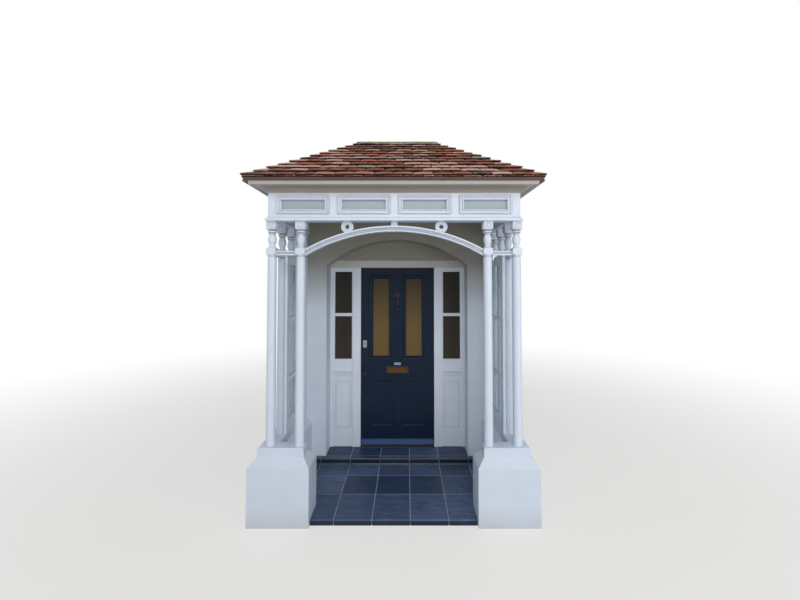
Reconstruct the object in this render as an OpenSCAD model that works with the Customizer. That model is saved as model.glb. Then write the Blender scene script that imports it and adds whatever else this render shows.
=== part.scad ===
// Entrance porch: turned timber posts on rendered plinths, a panelled frieze,
// a hipped tiled roof, glazed side screens and a panelled door in an arched recess.
// Origin: centre of the footprint at ground level, +Y into the house, +X right, +Z up.
// Sizes named reach are measured from the face of the house wall towards the street.

/* [Plinths] */
// Clear width between the two front plinths
entry_w = 1330; // [1200:10:1500]
// Width of a front plinth at its base
plinth_w = 490; // [440:5:600]
// Front-to-back thickness of a front plinth
plinth_front_t = 240; // [210:5:300]
// Thickness of the low side walls that run back to the house
plinth_side_t = 265; // [250:5:310]
// Height of the vertical part of a plinth
plinth_body_h = 459; // [350:5:600]
// Height of the sloped shoulder on a plinth
shoulder_h = 65; // [30:1:90]
// How far the shoulder slopes in on every side
shoulder_in = 58; // [30:1:60]
// Thickness of the cap slab
cap_h = 69; // [40:1:90]
// Bevel along the top edge of the cap slab
cap_bevel = 8; // [3:1:15]
// Distance from the house wall to the front of the plinths
plinth_reach = 950; // [850:10:1100]

/* [Floor] */
// Height of the porch floor above ground
floor_h = 46; // [30:1:80]
// How far the porch floor stays back from the front of the plinths
floor_back = 35; // [10:5:150]
// Height of the upper step at the door
step_h = 106; // [90:1:180]
// How far the upper step stands out from the house wall
step_reach = 60; // [40:5:120]
// Thickness of the metal angles along the upper step
trim_t = 2.5; // [2:0.5:5]
// Width of the metal angles along the upper step
trim_w = 10; // [7:1:25]

/* [Posts] */
// Distance from the inner edge of the cap to the block of the inner front post
post_margin = 10; // [4:1:30]
// Distance from the house wall to the axis of the last side post
last_post_y = 116; // [80:2:160]
// Shaft diameter at the foot of a post
shaft_foot_d = 76; // [60:1:76]
// Shaft diameter under the square block
shaft_top_d = 71; // [55:1:74]
// Width of the square blocks on a post
block_w = 78; // [78:1:90]
// Height of the underside of the lower square block and of the transom rails
transom_z = 2145; // [2050:5:2250]
// Height of the lower square block
block_h = 62; // [50:1:70]
// Height of the curved shoulders where a block turns round
pommel_h = 12; // [6:1:18]
// Height of the flare over the lower block
flare_h = 22; // [14:1:30]
// Diameter of the neck at both ends of the vase
neck_d = 46; // [40:1:56]
// Largest diameter of the turned vase
vase_d = 68; // [56:1:74]
// Height of the pair of turned rings under the capital block
rings_h = 30; // [24:1:40]
// Diameter of the small ring
bead_d = 60; // [54:1:68]
// Diameter of the large ring
ring_d = 74; // [68:1:76]
// Height of the square capital block at the top
capital_h = 76; // [66:1:90]
// Diameter of the roundel on the capital block
roundel_d = 56; // [40:1:60]
// Height from the underside of the lower block to the frieze
upper_h = 280; // [270:2:320]

/* [Transoms and arch] */
// Height of the transom rails
rail_h = 34; // [30:1:50]
// Front-to-back depth of the transom rails
rail_t = 44; // [30:1:60]
// Height of the groove along the transom rails
rail_groove_h = 10; // [6:1:16]
// Depth of the groove along the transom rails
rail_groove_in = 8; // [4:1:10]
// Height of the curved brackets under a rail
bracket_h = 44; // [25:1:60]
// Length of the brackets in the side bays
bracket_side_l = 66; // [40:1:75]
// Length of the bracket in the front bay
bracket_front_l = 40; // [30:1:60]
// Thickness of the brackets
bracket_t = 24; // [15:1:40]
// Depth of the arched rib
rib_h = 47; // [40:1:60]
// Front-to-back thickness of the arched rib
rib_t = 50; // [35:1:65]
// Gap between the crown of the rib and the frieze
crown_gap = 36; // [25:1:50]
// Rise of the arched rib
rib_rise = 192; // [160:2:215]
// Number of reeds along the rib
reeds = 3; // [2:1:4]
// Diameter of the ring discs
disc_d = 100; // [90:1:110]
// Diameter of the hole in a ring disc
disc_hole_d = 36; // [20:1:45]
// Width of the small block over the crown of the rib
crown_block_w = 52; // [40:1:70]

/* [Frieze] */
// Height of the frieze
frieze_h = 230; // [210:2:260]
// Thickness of the frieze
frieze_t = 100; // [80:2:120]
// How far the front of the frieze stands in front of the post axes
frieze_front_out = 45; // [36:1:60]
// How far a side of the frieze stands outside the post axes
frieze_side_out = 22; // [18:1:50]
// Height of the flat band along the bottom of the frieze
band_h = 21; // [15:1:30]
// How far the flat band stands proud
band_out = 18; // [8:1:24]
// Height of the hollow over the flat band
hollow_h = 23; // [12:1:30]
// Distance from the underside of the frieze to its panels
panel_up = 58; // [50:1:64]
// Height of a frieze panel over its moulding
panel_h = 151; // [120:1:156]
// Width of the moulding around a frieze panel
panel_mould_w = 37; // [25:1:42]
// Width of the plain stiles between the frieze panels
stile_w = 70; // [50:1:90]
// Number of panels across the front
front_panels = 4; // [3:1:5]
// Number of panels on each side
side_panels = 2; // [1:1:3]

/* [Eaves] */
// Radius of the hollow of the cove
cove_r = 36; // [20:1:50]
// Width of the fillets at both edges of the cove
cove_fillet = 8; // [4:1:12]
// Distance from the frieze to the front of the fascia
eave_out = 115; // [90:1:150]
// Thickness of the soffit board
soffit_t = 12; // [9:1:18]
// Height of the fascia boards
fascia_h = 28; // [24:1:60]
// Thickness of the fascia boards
fascia_t = 18; // [12:1:25]
// How far the fascia hangs below the soffit board
fascia_drop = 4; // [2:1:8]
// Thickness of the ceiling boards
ceiling_t = 12; // [9:1:20]

/* [Roof] */
// How far the tiles reach over the fascia
tile_over = 50; // [35:1:70]
// Height from the top of the fascia to the top edge of the tiles
eave_lift = 46; // [42:1:60]
// Rise of the roof from the eaves to the wall
roof_rise = 672; // [500:10:800]
// Half of the roof's width where it meets the wall at the top
ridge_half_w = 400; // [300:10:700]
// Number of tile courses
courses = 12; // [8:1:16]
// Height of the step at the butt of each course
tile_butt = 13; // [8:1:16]
// Thickness of the tiles at the eaves
tile_t = 30; // [24:1:34]
// Thickness of the boarding under the tiles
deck_t = 18; // [15:1:25]

/* [House wall] */
// Thickness of the house wall
wall_t = 330; // [300:5:450]
// How far the top of the wall stays below the line over the butts of the tiles
wall_drop = 21; // [18:1:30]
// Half of the width of the arched recess
recess_half_w = 745; // [700:5:765]
// Height from the underside of the frame head to the springing of the recess arch
spring_up = 21; // [15:1:70]
// Rise of the arch of the recess
recess_rise = 268; // [210:2:280]
// Depth of the recess from the wall face to the door frame
recess_depth = 200; // [160:5:225]
// How far the wall over the frame head stands behind the head
tympanum_back = 15; // [6:1:25]

/* [Door frame and sidelights] */
// Clear width of the doorway between its stops
doorway_w = 816; // [760:2:840]
// Height of the underside of the frame head
head_z = 2082; // [2000:2:2100]
// Height of the frame head
head_h = 80; // [70:2:110]
// Width of the posts beside the door
mullion_w = 86; // [76:1:110]
// Width of the frame posts against the wall
jamb_w = 33; // [20:1:45]
// Width of the wood round the glass of the sidelights
sash_border = 14; // [10:1:20]
// Distance from the frame head to the glass of the sidelights
sash_top = 45; // [25:1:60]
// Depth of the door rebate behind the stop
rebate = 14; // [10:1:20]
// Thickness of the door stop
stop_t = 16; // [12:1:20]
// Height of the ledge under the sidelights
ledge_z = 900; // [800:5:950]
// Height of the ledge moulding
ledge_h = 20; // [14:1:30]
// How far the ledge stands in front of the frame
ledge_out = 12; // [4:1:16]
// Height of the bottom of the sidelight glass
side_glass_z = 1066; // [1000:2:1150]
// Height of the glazing bar of the sidelights
glazing_bar_z = 1542; // [1300:2:1700]
// Thickness of the glazing bar of the sidelights
glazing_bar_h = 33; // [20:1:40]
// Thickness of the threshold under the door
threshold_h = 6; // [4:1:20]

/* [Door] */
// Thickness of the door leaf
leaf_t = 44; // [40:1:50]
// Gap between the door leaf and its frame
leaf_gap = 7; // [6:0.5:8]
// Height of the bottom rail of the door
bottom_rail_h = 206; // [150:2:260]
// Height of the lower panels
door_panel_h = 502; // [400:2:540]
// Height of the lock rail between the lower panels and the lights
lock_rail_h = 269; // [250:1:320]
// Height of the top rail of the door
top_rail_h = 130; // [90:1:180]
// Width of the door stiles beside the lights
door_stile_w = 141; // [110:1:160]
// Distance from the middle of the door to the near edge of a light
light_near_x = 92; // [80:1:110]
// Thickness of the glass
glass_t = 6; // [4:0.5:10]
// Width of the raised mouldings round the lights
mould_w = 38; // [25:1:45]
// How far the raised mouldings stand proud
mould_out = 9; // [5:1:14]
// Distance from the middle of the door to the near edge of a lower panel
panel_near_x = 50; // [40:1:60]
// Width of the door stiles beside the lower panels
panel_stile_w = 115; // [100:1:140]
// Width of the ovolo round the lower panels
ovolo_w = 14; // [8:1:20]
// Depth of the lower panels below the face of the door
panel_sink = 4; // [3:1:8]
// Height of the weather bar at the foot of the door
weather_h = 66; // [50:1:90]
// How far the weather bar stands out
weather_out = 26; // [15:1:30]

/* [Door furniture] */
// Width of the letter plate
letter_w = 246; // [230:2:280]
// Height of the letter plate
letter_h = 75; // [70:1:90]
// Height of the letter plate above the lower panels
letter_up = 81; // [60:1:100]
// Thickness of the letter plate
letter_t = 5; // [4:0.5:6]
// Width of the letter slot through the door
slot_w = 190; // [170:2:200]
// Height of the letter slot through the door
slot_h = 36; // [32:1:40]
// How far the flap laps over the edges of the slot
flap_lap = 5.5; // [4:0.5:8]
// Diameter of the rod that the letter flap turns on
flap_rod_d = 5; // [4:0.5:6]
// Height of the underside of the knocker
knocker_z = 1603; // [1500:1:1650]
// Height from the underside of the knocker to its pin
knocker_l = 172; // [150:1:200]
// Diameter of the rose that carries the knocker
rose_d = 57; // [50:1:64]
// Thickest diameter of the knocker's arm
arm_d = 24; // [16:1:26]
// Diameter of the knocker's olive
olive_d = 25; // [20:0.5:28]
// Length of the knocker's olive
olive_l = 50; // [40:1:60]
// Thickness of the striking stud
stud_t = 5; // [4:0.5:8]
// Diameter of the knocker's pin
knocker_pin_d = 6; // [5:0.5:7]
// Height of the middle of the cylinder latch
latch_z = 1230; // [1150:5:1300]
// Distance from the edge of the door to the middle of the latch
latch_in = 52; // [45:1:70]
// Width of the latch plate
latch_w = 43; // [36:1:50]
// Height of the latch plate
latch_h = 81; // [70:1:100]
// Height of the keyhole
keyhole_z = 898; // [850:2:950]
// Diameter of the hinge knuckles of the door
knuckle_d = 14; // [12:1:14]
// Diameter of the hinge pins of the door
hinge_pin_d = 7; // [5:0.5:8]
// Height of a door hinge
hinge_h = 100; // [75:5:125]
// Height of each end knuckle of a hinge
knuckle_end_h = 30; // [20:1:35]
// Width of a hinge plate
hinge_plate_w = 27; // [20:1:30]

/* [Side screens] */
// Thickness of the glazed side screens
screen_t = 24; // [20:1:28]
// Width of the upright members of a screen
screen_stile = 60; // [40:2:80]
// Height of the bottom rail of a screen
screen_foot = 112; // [80:2:140]
// Height of the lower glazing rail of a screen
lower_rail_z = 1042; // [900:2:1200]
// Height of the upper glazing rail of a screen
upper_rail_z = 1562; // [1400:2:1700]
// Thickness of the glazing rails of a screen
screen_rail_h = 38; // [25:1:50]
// Height of the top rail of a screen under the top of the transoms
screen_head = 100; // [70:2:140]

/* [Hidden] */
$fn = 48;
eps = 1;
tall = 5000;
pin_clear = 0.05;
root_2 = sqrt(2);

plinth_in_x = entry_w / 2;
plinth_out_x = plinth_in_x + plinth_w;
side_in_x = plinth_out_x - plinth_side_t;
cap_z = plinth_body_h + shoulder_h;
seat_z = cap_z + cap_h;
front_back_y = -plinth_reach + plinth_front_t;
floor_reach = plinth_reach - floor_back;

block_face = block_w / 2;
screen_in_x = side_in_x + shoulder_in;
screen_out_x = screen_in_x + screen_t;
post_reach = plinth_reach - plinth_front_t / 2;
post_corner_x = screen_out_x + block_face;
post_inner_x = plinth_in_x + shoulder_in + post_margin + block_face;
side_pitch_y = (post_reach - last_post_y) / 3;
side_post_y = [for (k = [1:3]) -post_reach + k * side_pitch_y];

frieze_z = transom_z + upper_h;
frieze_top = frieze_z + frieze_h;
frieze_half_w = post_corner_x + frieze_side_out;
frieze_reach = post_reach + frieze_front_out;
post_h = frieze_z - seat_z;

rib_half = post_inner_x - block_face;
rib_top = frieze_z - crown_gap;
rib_r = (rib_half * rib_half + rib_rise * rib_rise) / (2 * rib_rise);
rib_c = rib_top - rib_r;
disc_top_bite = 5;
disc_rib_bite = 9;
disc_z = frieze_z - disc_d / 2 + disc_top_bite;
disc_x = sqrt(pow(rib_r + disc_d / 2 - disc_rib_bite, 2) - pow(disc_z - rib_c, 2));

cove = cove_r + cove_fillet;
soffit_z = frieze_top + cove;
fascia_z = soffit_z - fascia_drop;
fascia_top = fascia_z + fascia_h;
fascia_half_w = frieze_half_w + eave_out;
fascia_reach = frieze_reach + eave_out;
eave_half_w = fascia_half_w + tile_over;
eave_reach = fascia_reach + tile_over;
eave_z = fascia_top + eave_lift;
ridge_z = eave_z + roof_rise;
side_run = eave_half_w - ridge_half_w;
wall_y = (eave_reach - wall_t) / 2;

spring_z = head_z + spring_up;
head_top_z = head_z + head_h;
recess_r = (recess_half_w * recess_half_w + recess_rise * recess_rise) / (2 * recess_rise);
recess_c = spring_z + recess_rise - recess_r;

tympanum_y = recess_depth + tympanum_back;

frame_back = recess_depth + stop_t + leaf_gap + leaf_t;
doorway_half = doorway_w / 2;
mullion_out = doorway_half + mullion_w;
side_glass_top = head_z - sash_top;

leaf_half = doorway_half + rebate - leaf_gap;
leaf_front = recess_depth + stop_t + leaf_gap;
leaf_back = leaf_front + leaf_t;
leaf_z = step_h + threshold_h + leaf_gap;
leaf_top = head_z + rebate - leaf_gap;
panel_z = leaf_z + bottom_rail_h;
panel_top = panel_z + door_panel_h;
panel_w = leaf_half - panel_stile_w - panel_near_x;
light_z = panel_top + lock_rail_h;
light_w = leaf_half - door_stile_w - light_near_x;
light_h = leaf_top - top_rail_h - light_z;

hinge_x = leaf_half + leaf_gap / 2;
hinge_y = leaf_back + knuckle_d / 2 + 0.3;
hinge_in = 200;
hinge_zs = [leaf_z + hinge_in, (leaf_z + leaf_top - hinge_h) / 2, leaf_top - hinge_in - hinge_h];
hinge_plate_t = 2;
knuckle_gap = 0.5;

letter_z = panel_top + letter_up;
letter_y = leaf_front - letter_t;
slot_z = letter_z + (letter_h - slot_h) / 2 - 3.5;
flap_roll_d = flap_rod_d + 3;
flap_axis_y = letter_y - flap_roll_d / 2 - 0.5;
flap_axis_z = slot_z + slot_h + flap_roll_d / 2;
flap_half = slot_w / 2 + flap_lap;
flap_lug_w = 7;

olive_gap = 0.3;
knocker_y = leaf_front - stud_t - olive_gap - olive_d / 2;
knocker_pin_z = knocker_z + knocker_l;
ear_in = 9;
ear_t = 5;
ear_r = 8;
latch_x = leaf_half - latch_in;

white = [0.88, 0.90, 0.93];
render_white = [0.85, 0.88, 0.92];
tile_red = [0.47, 0.29, 0.24];
slate = [0.17, 0.20, 0.27];
navy = [0.10, 0.14, 0.21];
brass = [0.48, 0.32, 0.16];
bronze = [0.35, 0.25, 0.15];
glass = [0.62, 0.66, 0.66];

// Puts a shape drawn from the wall face into the part's own frame
module from_wall() { translate([0, wall_y, 0]) children(); }

// A box from one corner to the opposite one
module block(a, b) {
    translate([min(a.x, b.x), min(a.y, b.y), min(a.z, b.z)])
        cube([abs(b.x - a.x), abs(b.y - a.y), abs(b.z - a.z)]);
}

// Draws the right-hand shape, mirrored when side is -1
module on_side(side) {
    if (side < 0) mirror([1, 0, 0]) children();
    else children();
}

// A round bar of length l along +X from a point
module bar_x(p, l, d) {
    translate(p) rotate([0, 90, 0]) cylinder(h = l, d = d);
}

// Turns a shape that lies flat so that it stands out towards the street
module facing_street(p) { translate(p) rotate([90, 0, 0]) children(); }

// Front run of a profile (x outward, y up) round the porch, mitred at its corners
module front_run(hw, reach, out) {
    intersection() {
        translate([-hw - out, -reach, 0]) rotate([90, 0, 90])
            linear_extrude(2 * (hw + out)) mirror([1, 0, 0]) children();
        linear_extrude(tall) polygon([
            [0, hw - reach], [-hw - out - eps, -reach - out - eps], [hw + out + eps, -reach - out - eps]
        ]);
    }
}

// Both side runs of the same profile
module side_runs(hw, reach, out) {
    for (side = [-1, 1]) on_side(side) intersection() {
        translate([hw, 0, 0]) rotate([90, 0, 0]) linear_extrude(reach + out) children();
        linear_extrude(tall) polygon([
            [hw - reach, 0], [hw + out + eps, 0], [hw + out + eps, -reach - out - eps]
        ]);
    }
}

// Moulding of length l along +X, its 2D section (inward, outward), cut to a mitre at both ends
module mitred_run(l) {
    intersection() {
        rotate([90, 0, 90]) linear_extrude(l) rotate(90) children();
        rotate([90, 0, 0]) linear_extrude(tall, center = true) polygon([[0, 0], [l, 0], [l / 2, l / 2]]);
    }
}

// Mitred moulding round a w by h rectangle that stands on the XZ plane
module mitred_frame(w, h) {
    mitred_run(w) children();
    translate([w, 0, h]) rotate([0, 180, 0]) mitred_run(w) children();
    translate([0, 0, h]) rotate([0, 90, 0]) mitred_run(h) children();
    translate([w, 0, 0]) rotate([0, -90, 0]) mitred_run(h) children();
}

// House wall

module wall_pier(side) {
    color(render_white) from_wall() on_side(side)
        block([recess_half_w, 0, 0], [plinth_out_x, wall_t, spring_z]);
}
module wall_left() { wall_pier(-1); }
module wall_right() { wall_pier(1); }

module wall_outline() {
    top_z = ridge_z - wall_drop;
    edge_z = top_z - (plinth_out_x - ridge_half_w) * roof_rise / side_run;
    polygon([
        [-plinth_out_x, spring_z], [plinth_out_x, spring_z], [plinth_out_x, edge_z],
        [ridge_half_w, top_z], [-ridge_half_w, top_z], [-plinth_out_x, edge_z]
    ]);
}

module wall_over() {
    color(render_white) from_wall() difference() {
        translate([0, wall_t, 0]) rotate([90, 0, 0]) linear_extrude(wall_t) wall_outline();
        // arched recess in front of the frame
        intersection() {
            translate([0, tympanum_y, recess_c]) rotate([90, 0, 0])
                cylinder(h = tympanum_y + eps, r = recess_r, $fn = 180);
            block([-recess_half_w, -eps, spring_z - eps],
                [recess_half_w, tympanum_y, spring_z + recess_rise + eps]);
        }
        // room for the frame head
        block([-recess_half_w, recess_depth, spring_z - eps], [recess_half_w, wall_t + eps, head_top_z]);
    }
}

// Plinths

// Upright section from a to b, sloped in over its top height h at both ends
module sloped_section(a, b, z0, z1, h, in_a, in_b) {
    polygon([[a, z0], [b, z0], [b, z1 - h], [b - in_b, z1], [a + in_a, z1], [a, z1 - h]]);
}

// Straight leg over xs and ys with sloped top edges; back_in is the slope of its back end
module leg(xs, ys, z0, z1, h, slope_in, back_in) {
    intersection() {
        translate([0, ys[1], 0]) rotate([90, 0, 0]) linear_extrude(ys[1] - ys[0])
            sloped_section(xs[0], xs[1], z0, z1, h, slope_in, slope_in);
        translate([xs[0], 0, 0]) rotate([90, 0, 90]) linear_extrude(xs[1] - xs[0])
            sloped_section(ys[0], ys[1], z0, z1, h, slope_in, back_in);
    }
}

// L-shaped mass of one side, inset by d, from z0 to z1
module plinth_mass(d, z0, z1, h, slope_in) {
    xs = [side_in_x + d, plinth_out_x - d];
    union() {
        leg([plinth_in_x + d, xs[1]], [-plinth_reach + d, front_back_y - d], z0, z1, h, slope_in, slope_in);
        leg(xs, [-plinth_reach + d, 0], z0, z1, h, slope_in, 0);
    }
}

module plinth(side) {
    color(render_white) from_wall() on_side(side) plinth_mass(0, 0, cap_z, shoulder_h, shoulder_in);
}
module plinth_left() { plinth(-1); }
module plinth_right() { plinth(1); }

module plinth_caps() {
    color(white) from_wall() for (side = [-1, 1])
        on_side(side) plinth_mass(shoulder_in, cap_z, seat_z, cap_bevel, cap_bevel);
}

// Floor and step

module porch_floor() {
    color(slate) from_wall() linear_extrude(floor_h) polygon([
        [-plinth_in_x, -floor_reach], [plinth_in_x, -floor_reach],
        [plinth_in_x, front_back_y], [side_in_x, front_back_y],
        [side_in_x, -step_reach], [-side_in_x, -step_reach],
        [-side_in_x, front_back_y], [-plinth_in_x, front_back_y]
    ]);
}

module door_step() {
    color(slate) from_wall() linear_extrude(step_h) polygon([
        [-side_in_x, -step_reach], [side_in_x, -step_reach], [side_in_x, 0],
        [recess_half_w, 0], [recess_half_w, wall_t], [-recess_half_w, wall_t],
        [-recess_half_w, 0], [-side_in_x, 0]
    ]);
}

// Metal angle with its corner at the origin, one leg along x and one down
module angle_section() {
    polygon([
        [-trim_t, trim_t], [trim_w, trim_t], [trim_w, 0], [0, 0], [0, -trim_w], [-trim_t, -trim_w]
    ]);
}

// An angle across the porch at y and z
module step_angle(y, z) {
    translate([-side_in_x, y, z]) rotate([90, 0, 90]) linear_extrude(2 * side_in_x) children();
}

module step_trims() {
    color("silver") from_wall() {
        // over the edge of the upper step
        step_angle(-step_reach, step_h) angle_section();
        // in the corner at the foot of the riser
        step_angle(-step_reach - trim_t, floor_h + trim_t) rotate(180) angle_section();
    }
}

// Posts

// Turned roundel that lies on a face of the capital block: rim, hollow and boss
module roundel() {
    r = roundel_d / 2;
    boss = r * 0.4;
    rotate_extrude() polygon([
        [0, -1], [r, -1], [r, 2], [r - 2, 4], [r - 5, 4], [r - 8, 1],
        [boss + 1, 1], [boss, 3], [boss - 3, 4.5], [0, 5]
    ]);
}

block_z = transom_z - seat_z;
block_top = block_z + block_h;
capital_z = post_h - capital_h;
// Radius that reaches past the corners of a square block
blank_r = block_face * root_2 + eps;

// Half sections of a post from its foot up (radius, height)
function shaft_section() = let (r = shaft_top_d / 2, quirk = 4) [
    [0, 0], [shaft_foot_d / 2, 0], [r, block_z - 16], [r - quirk, block_z - 13],
    [r - quirk, block_z - 9], [r, block_z - 6], [r, block_z], [0, block_z]
];

function lower_block_section() = [
    [0, block_z], [shaft_top_d / 2, block_z], [blank_r, block_z + pommel_h],
    [blank_r, block_top - pommel_h], [block_face, block_top], [0, block_top]
];

function vase_section() = let (
    neck = neck_d / 2,
    flare = block_face - neck,
    v0 = block_top + flare_h,
    v1 = capital_z - rings_h
) concat(
    [[0, block_top], [block_face, block_top]],
    [for (a = [22.5:22.5:90]) [neck + flare * (1 - sin(a)), block_top + flare_h * (1 - cos(a))]],
    [for (k = [1:9]) [neck + (vase_d - neck_d) / 2 * sin(18 * k), v0 + (v1 - v0) * k / 10]],
    [for (p = [[neck, 0], [bead_d / 2, 0.1], [bead_d / 2, 0.28], [neck + 1, 0.38],
        [ring_d / 2 - 2, 0.46], [ring_d / 2, 0.56], [ring_d / 2, 0.82], [ring_d / 2 - 3, 0.92],
        [neck + 4, 1]]) [p[0], v1 + p[1] * rings_h]],
    [[0, capital_z]]
);

function capital_section() = [
    [0, capital_z], [neck_d / 2 + 4, capital_z], [blank_r, capital_z + pommel_h + 4],
    [blank_r, post_h], [0, post_h]
];

// Turned from a square blank, so that its flats stay where the section is wider
module squared() {
    intersection() {
        rotate_extrude() children();
        translate([-block_face, -block_face, 0]) cube([block_w, block_w, 2 * post_h]);
    }
}

// One turned post standing at the origin, foot at z = 0
module post() {
    union() {
        rotate_extrude() polygon(shaft_section());
        squared() polygon(lower_block_section());
        rotate_extrude() polygon(vase_section());
        squared() polygon(capital_section());
        for (a = [0:90:270])
            rotate([0, 0, a]) facing_street([0, -block_face, post_h - capital_h / 2]) roundel();
    }
}

module front_posts(side) {
    color(white) from_wall() on_side(side)
        for (x = [post_inner_x, post_corner_x])
            translate([x, -post_reach, seat_z]) post();
}
module front_posts_left() { front_posts(-1); }
module front_posts_right() { front_posts(1); }

module side_posts(side) {
    color(white) from_wall() on_side(side)
        for (y = side_post_y)
            translate([post_corner_x, y, seat_z]) post();
}
module side_posts_left() { side_posts(-1); }
module side_posts_right() { side_posts(1); }

// Transoms and brackets

// Rail of length l along +X with a groove on both faces, centred on Y, underside at z = 0
module rail(l) {
    f = rail_t / 2;
    g = f - rail_groove_in;
    z0 = (rail_h - rail_groove_h) / 2;
    z1 = z0 + rail_groove_h;
    rotate([90, 0, 90]) linear_extrude(l) polygon([
        [-f, 0], [f, 0], [f, z0 - 3], [g, z0], [g, z1], [f, z1 + 3],
        [f, rail_h], [-f, rail_h], [-f, z1 + 3], [-g, z1], [-g, z0], [-f, z0 - 3]
    ]);
}

module transoms() {
    color(white) from_wall() for (side = [-1, 1]) on_side(side) {
        translate([post_inner_x + block_face, -post_reach, transom_z])
            rail(post_corner_x - post_inner_x - block_w);
        for (y = [-post_reach, side_post_y[0], side_post_y[1]])
            translate([post_corner_x, y + block_face, transom_z]) rotate([0, 0, 90])
                rail(side_pitch_y - block_w);
        translate([post_corner_x, side_post_y[2] + block_face, transom_z]) rotate([0, 0, 90])
            rail(last_post_y - block_face);
    }
}

// Curved bracket of length l along +X that hangs from z = 0
module bracket(l) {
    tip = 8;
    translate([0, bracket_t / 2, 0]) rotate([90, 0, 0]) linear_extrude(bracket_t) polygon(concat(
        [[0, 0], [l, 0]],
        [for (a = [0:10:90]) [l - (l - tip) * sin(a), -bracket_h + (bracket_h - tip) * cos(a)]],
        [[0, -bracket_h]]
    ));
}

module brackets() {
    color(white) from_wall() {
        translate([post_inner_x + block_face, -post_reach, transom_z]) bracket(bracket_front_l);
        for (side = [-1, 1]) on_side(side) {
            translate([post_corner_x, -post_reach + block_face, transom_z])
                rotate([0, 0, 90]) bracket(bracket_side_l);
            translate([post_corner_x, side_post_y[0] - block_face, transom_z])
                rotate([0, 0, -90]) bracket(bracket_side_l);
        }
    }
}

// Arched rib

// Points along one reeded face of the rib, from its outer edge to its inner edge
function reeded_face(f) = let (
    outer = 13,
    inner = 10,
    sunk = 8,
    raised = 5,
    w = (rib_h - outer - inner) / reeds
) concat(
    [[rib_r, f], [rib_r - outer, f]],
    [for (i = [0:reeds - 1], k = [0:3])
        [rib_r - outer - (i + 0.5) * w + w / 2 * cos(45 * k), f - sunk + raised * sin(45 * k)]],
    [[rib_r - rib_h + inner, f - sunk], [rib_r - rib_h + inner, f], [rib_r - rib_h, f]]
);

module arch_rib() {
    front = reeded_face(rib_t / 2);
    n = len(front);
    color(white) from_wall() intersection() {
        facing_street([0, -post_reach, rib_c]) rotate_extrude($fn = 180) polygon(concat(
            front, [for (i = [n - 1:-1:0]) [front[i].x, -front[i].y]]
        ));
        block([-rib_half, -post_reach - rib_t, rib_c + rib_r / 2],
            [rib_half, -post_reach + rib_t, frieze_z]);
    }
}

// Everything under the outer edge of the rib
module under_rib() {
    facing_street([0, -post_reach + rib_t, rib_c]) cylinder(h = 2 * rib_t, r = rib_r, $fn = 180);
}

module arch_discs() {
    t = rib_t - 14;
    r = disc_d / 2;
    hole = disc_hole_d / 2;
    color(white) from_wall() {
        for (side = [-1, 1]) difference() {
            facing_street([side * disc_x, -post_reach + t / 2, disc_z]) rotate_extrude() polygon([
                [hole, 0], [r, 0], [r, t], [r - 8, t], [r - 9, t - 2], [r - 12, t - 2], [r - 13, t],
                [hole + 7, t], [hole + 5, t + 3], [hole + 2, t + 3], [hole, t + 1]
            ]);
            block([side * disc_x - disc_d, -post_reach - rib_t, frieze_z],
                [side * disc_x + disc_d, -post_reach + rib_t, frieze_z + disc_d]);
            under_rib();
        }
        // small block with a turned button over the crown
        difference() {
            union() {
                block([-crown_block_w / 2, -post_reach - t / 2, rib_top - rib_h / 4],
                    [crown_block_w / 2, -post_reach + t / 2, frieze_z]);
                facing_street([0, -post_reach - t / 2, rib_top + crown_gap / 2])
                    cylinder(h = 5, d = crown_gap * 0.6);
            }
            under_rib();
        }
    }
}

// Frieze

// Frieze board, x outward from its face, y up, with the band and hollow along its foot
module frieze_profile() {
    root = band_out - 4;
    polygon(concat(
        [[-frieze_t, 0], [band_out, 0], [band_out, band_h]],
        [for (a = [0:18:90]) [root * (1 - sin(a)), band_h + hollow_h * (1 - cos(a))]],
        [[0, frieze_h], [-frieze_t, frieze_h]]
    ));
}

// Section of the moulding round a frieze panel: bead, hollow, second bead and bevel
module panel_moulding() {
    w = panel_mould_w;
    polygon([
        [0, -1], [0, 8], [3, 11], [8, 10], [11, 3], [w - 14, 1], [w - 11, 6], [w - 6, 7], [w, 0], [w, -1]
    ]);
}

// Repeats its children at every panel of a run from x0 that has n panels of width w
module each_panel(x0, n, w) {
    for (k = [0:n - 1]) translate([x0 + stile_w + k * (w + stile_w), 0, panel_up]) children();
}
function panels_w(l, n) = (l - (n + 1) * stile_w) / n;

// Cuts the glass openings into a frieze run of length l and lays the mouldings round them
module panelled(x0, n, l) {
    w = panels_w(l, n);
    union() {
        difference() {
            children();
            each_panel(x0, n, w) translate([panel_mould_w, -eps, panel_mould_w])
                cube([w - 2 * panel_mould_w, frieze_t + 2 * eps, panel_h - 2 * panel_mould_w]);
        }
        each_panel(x0, n, w) mitred_frame(w, panel_h) panel_moulding();
    }
}

// Glass of one frieze run
module frieze_panes(x0, n, l) {
    w = panels_w(l, n);
    each_panel(x0, n, w) translate([panel_mould_w, frieze_t * 0.2, panel_mould_w])
        cube([w - 2 * panel_mould_w, glass_t, panel_h - 2 * panel_mould_w]);
}

// Moves a run drawn along +X with its face at y = 0 to the front or the right side, and back
module at_front() { translate([0, -frieze_reach, frieze_z]) children(); }
module at_side() { translate([frieze_half_w, 0, frieze_z]) rotate([0, 0, 90]) children(); }

module frieze_front() {
    color(white) from_wall() at_front() panelled(-frieze_half_w, front_panels, 2 * frieze_half_w)
        translate([0, frieze_reach, 0]) front_run(frieze_half_w, frieze_reach, band_out) frieze_profile();
}

module frieze_side() {
    at_side() panelled(-frieze_reach, side_panels, frieze_reach)
        rotate([0, 0, -90]) translate([-frieze_half_w, 0, 0]) intersection() {
            side_runs(frieze_half_w, frieze_reach, band_out) frieze_profile();
            block([0, eps, 0], [2 * frieze_half_w, -2 * frieze_reach, frieze_h]);
        }
}

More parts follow.
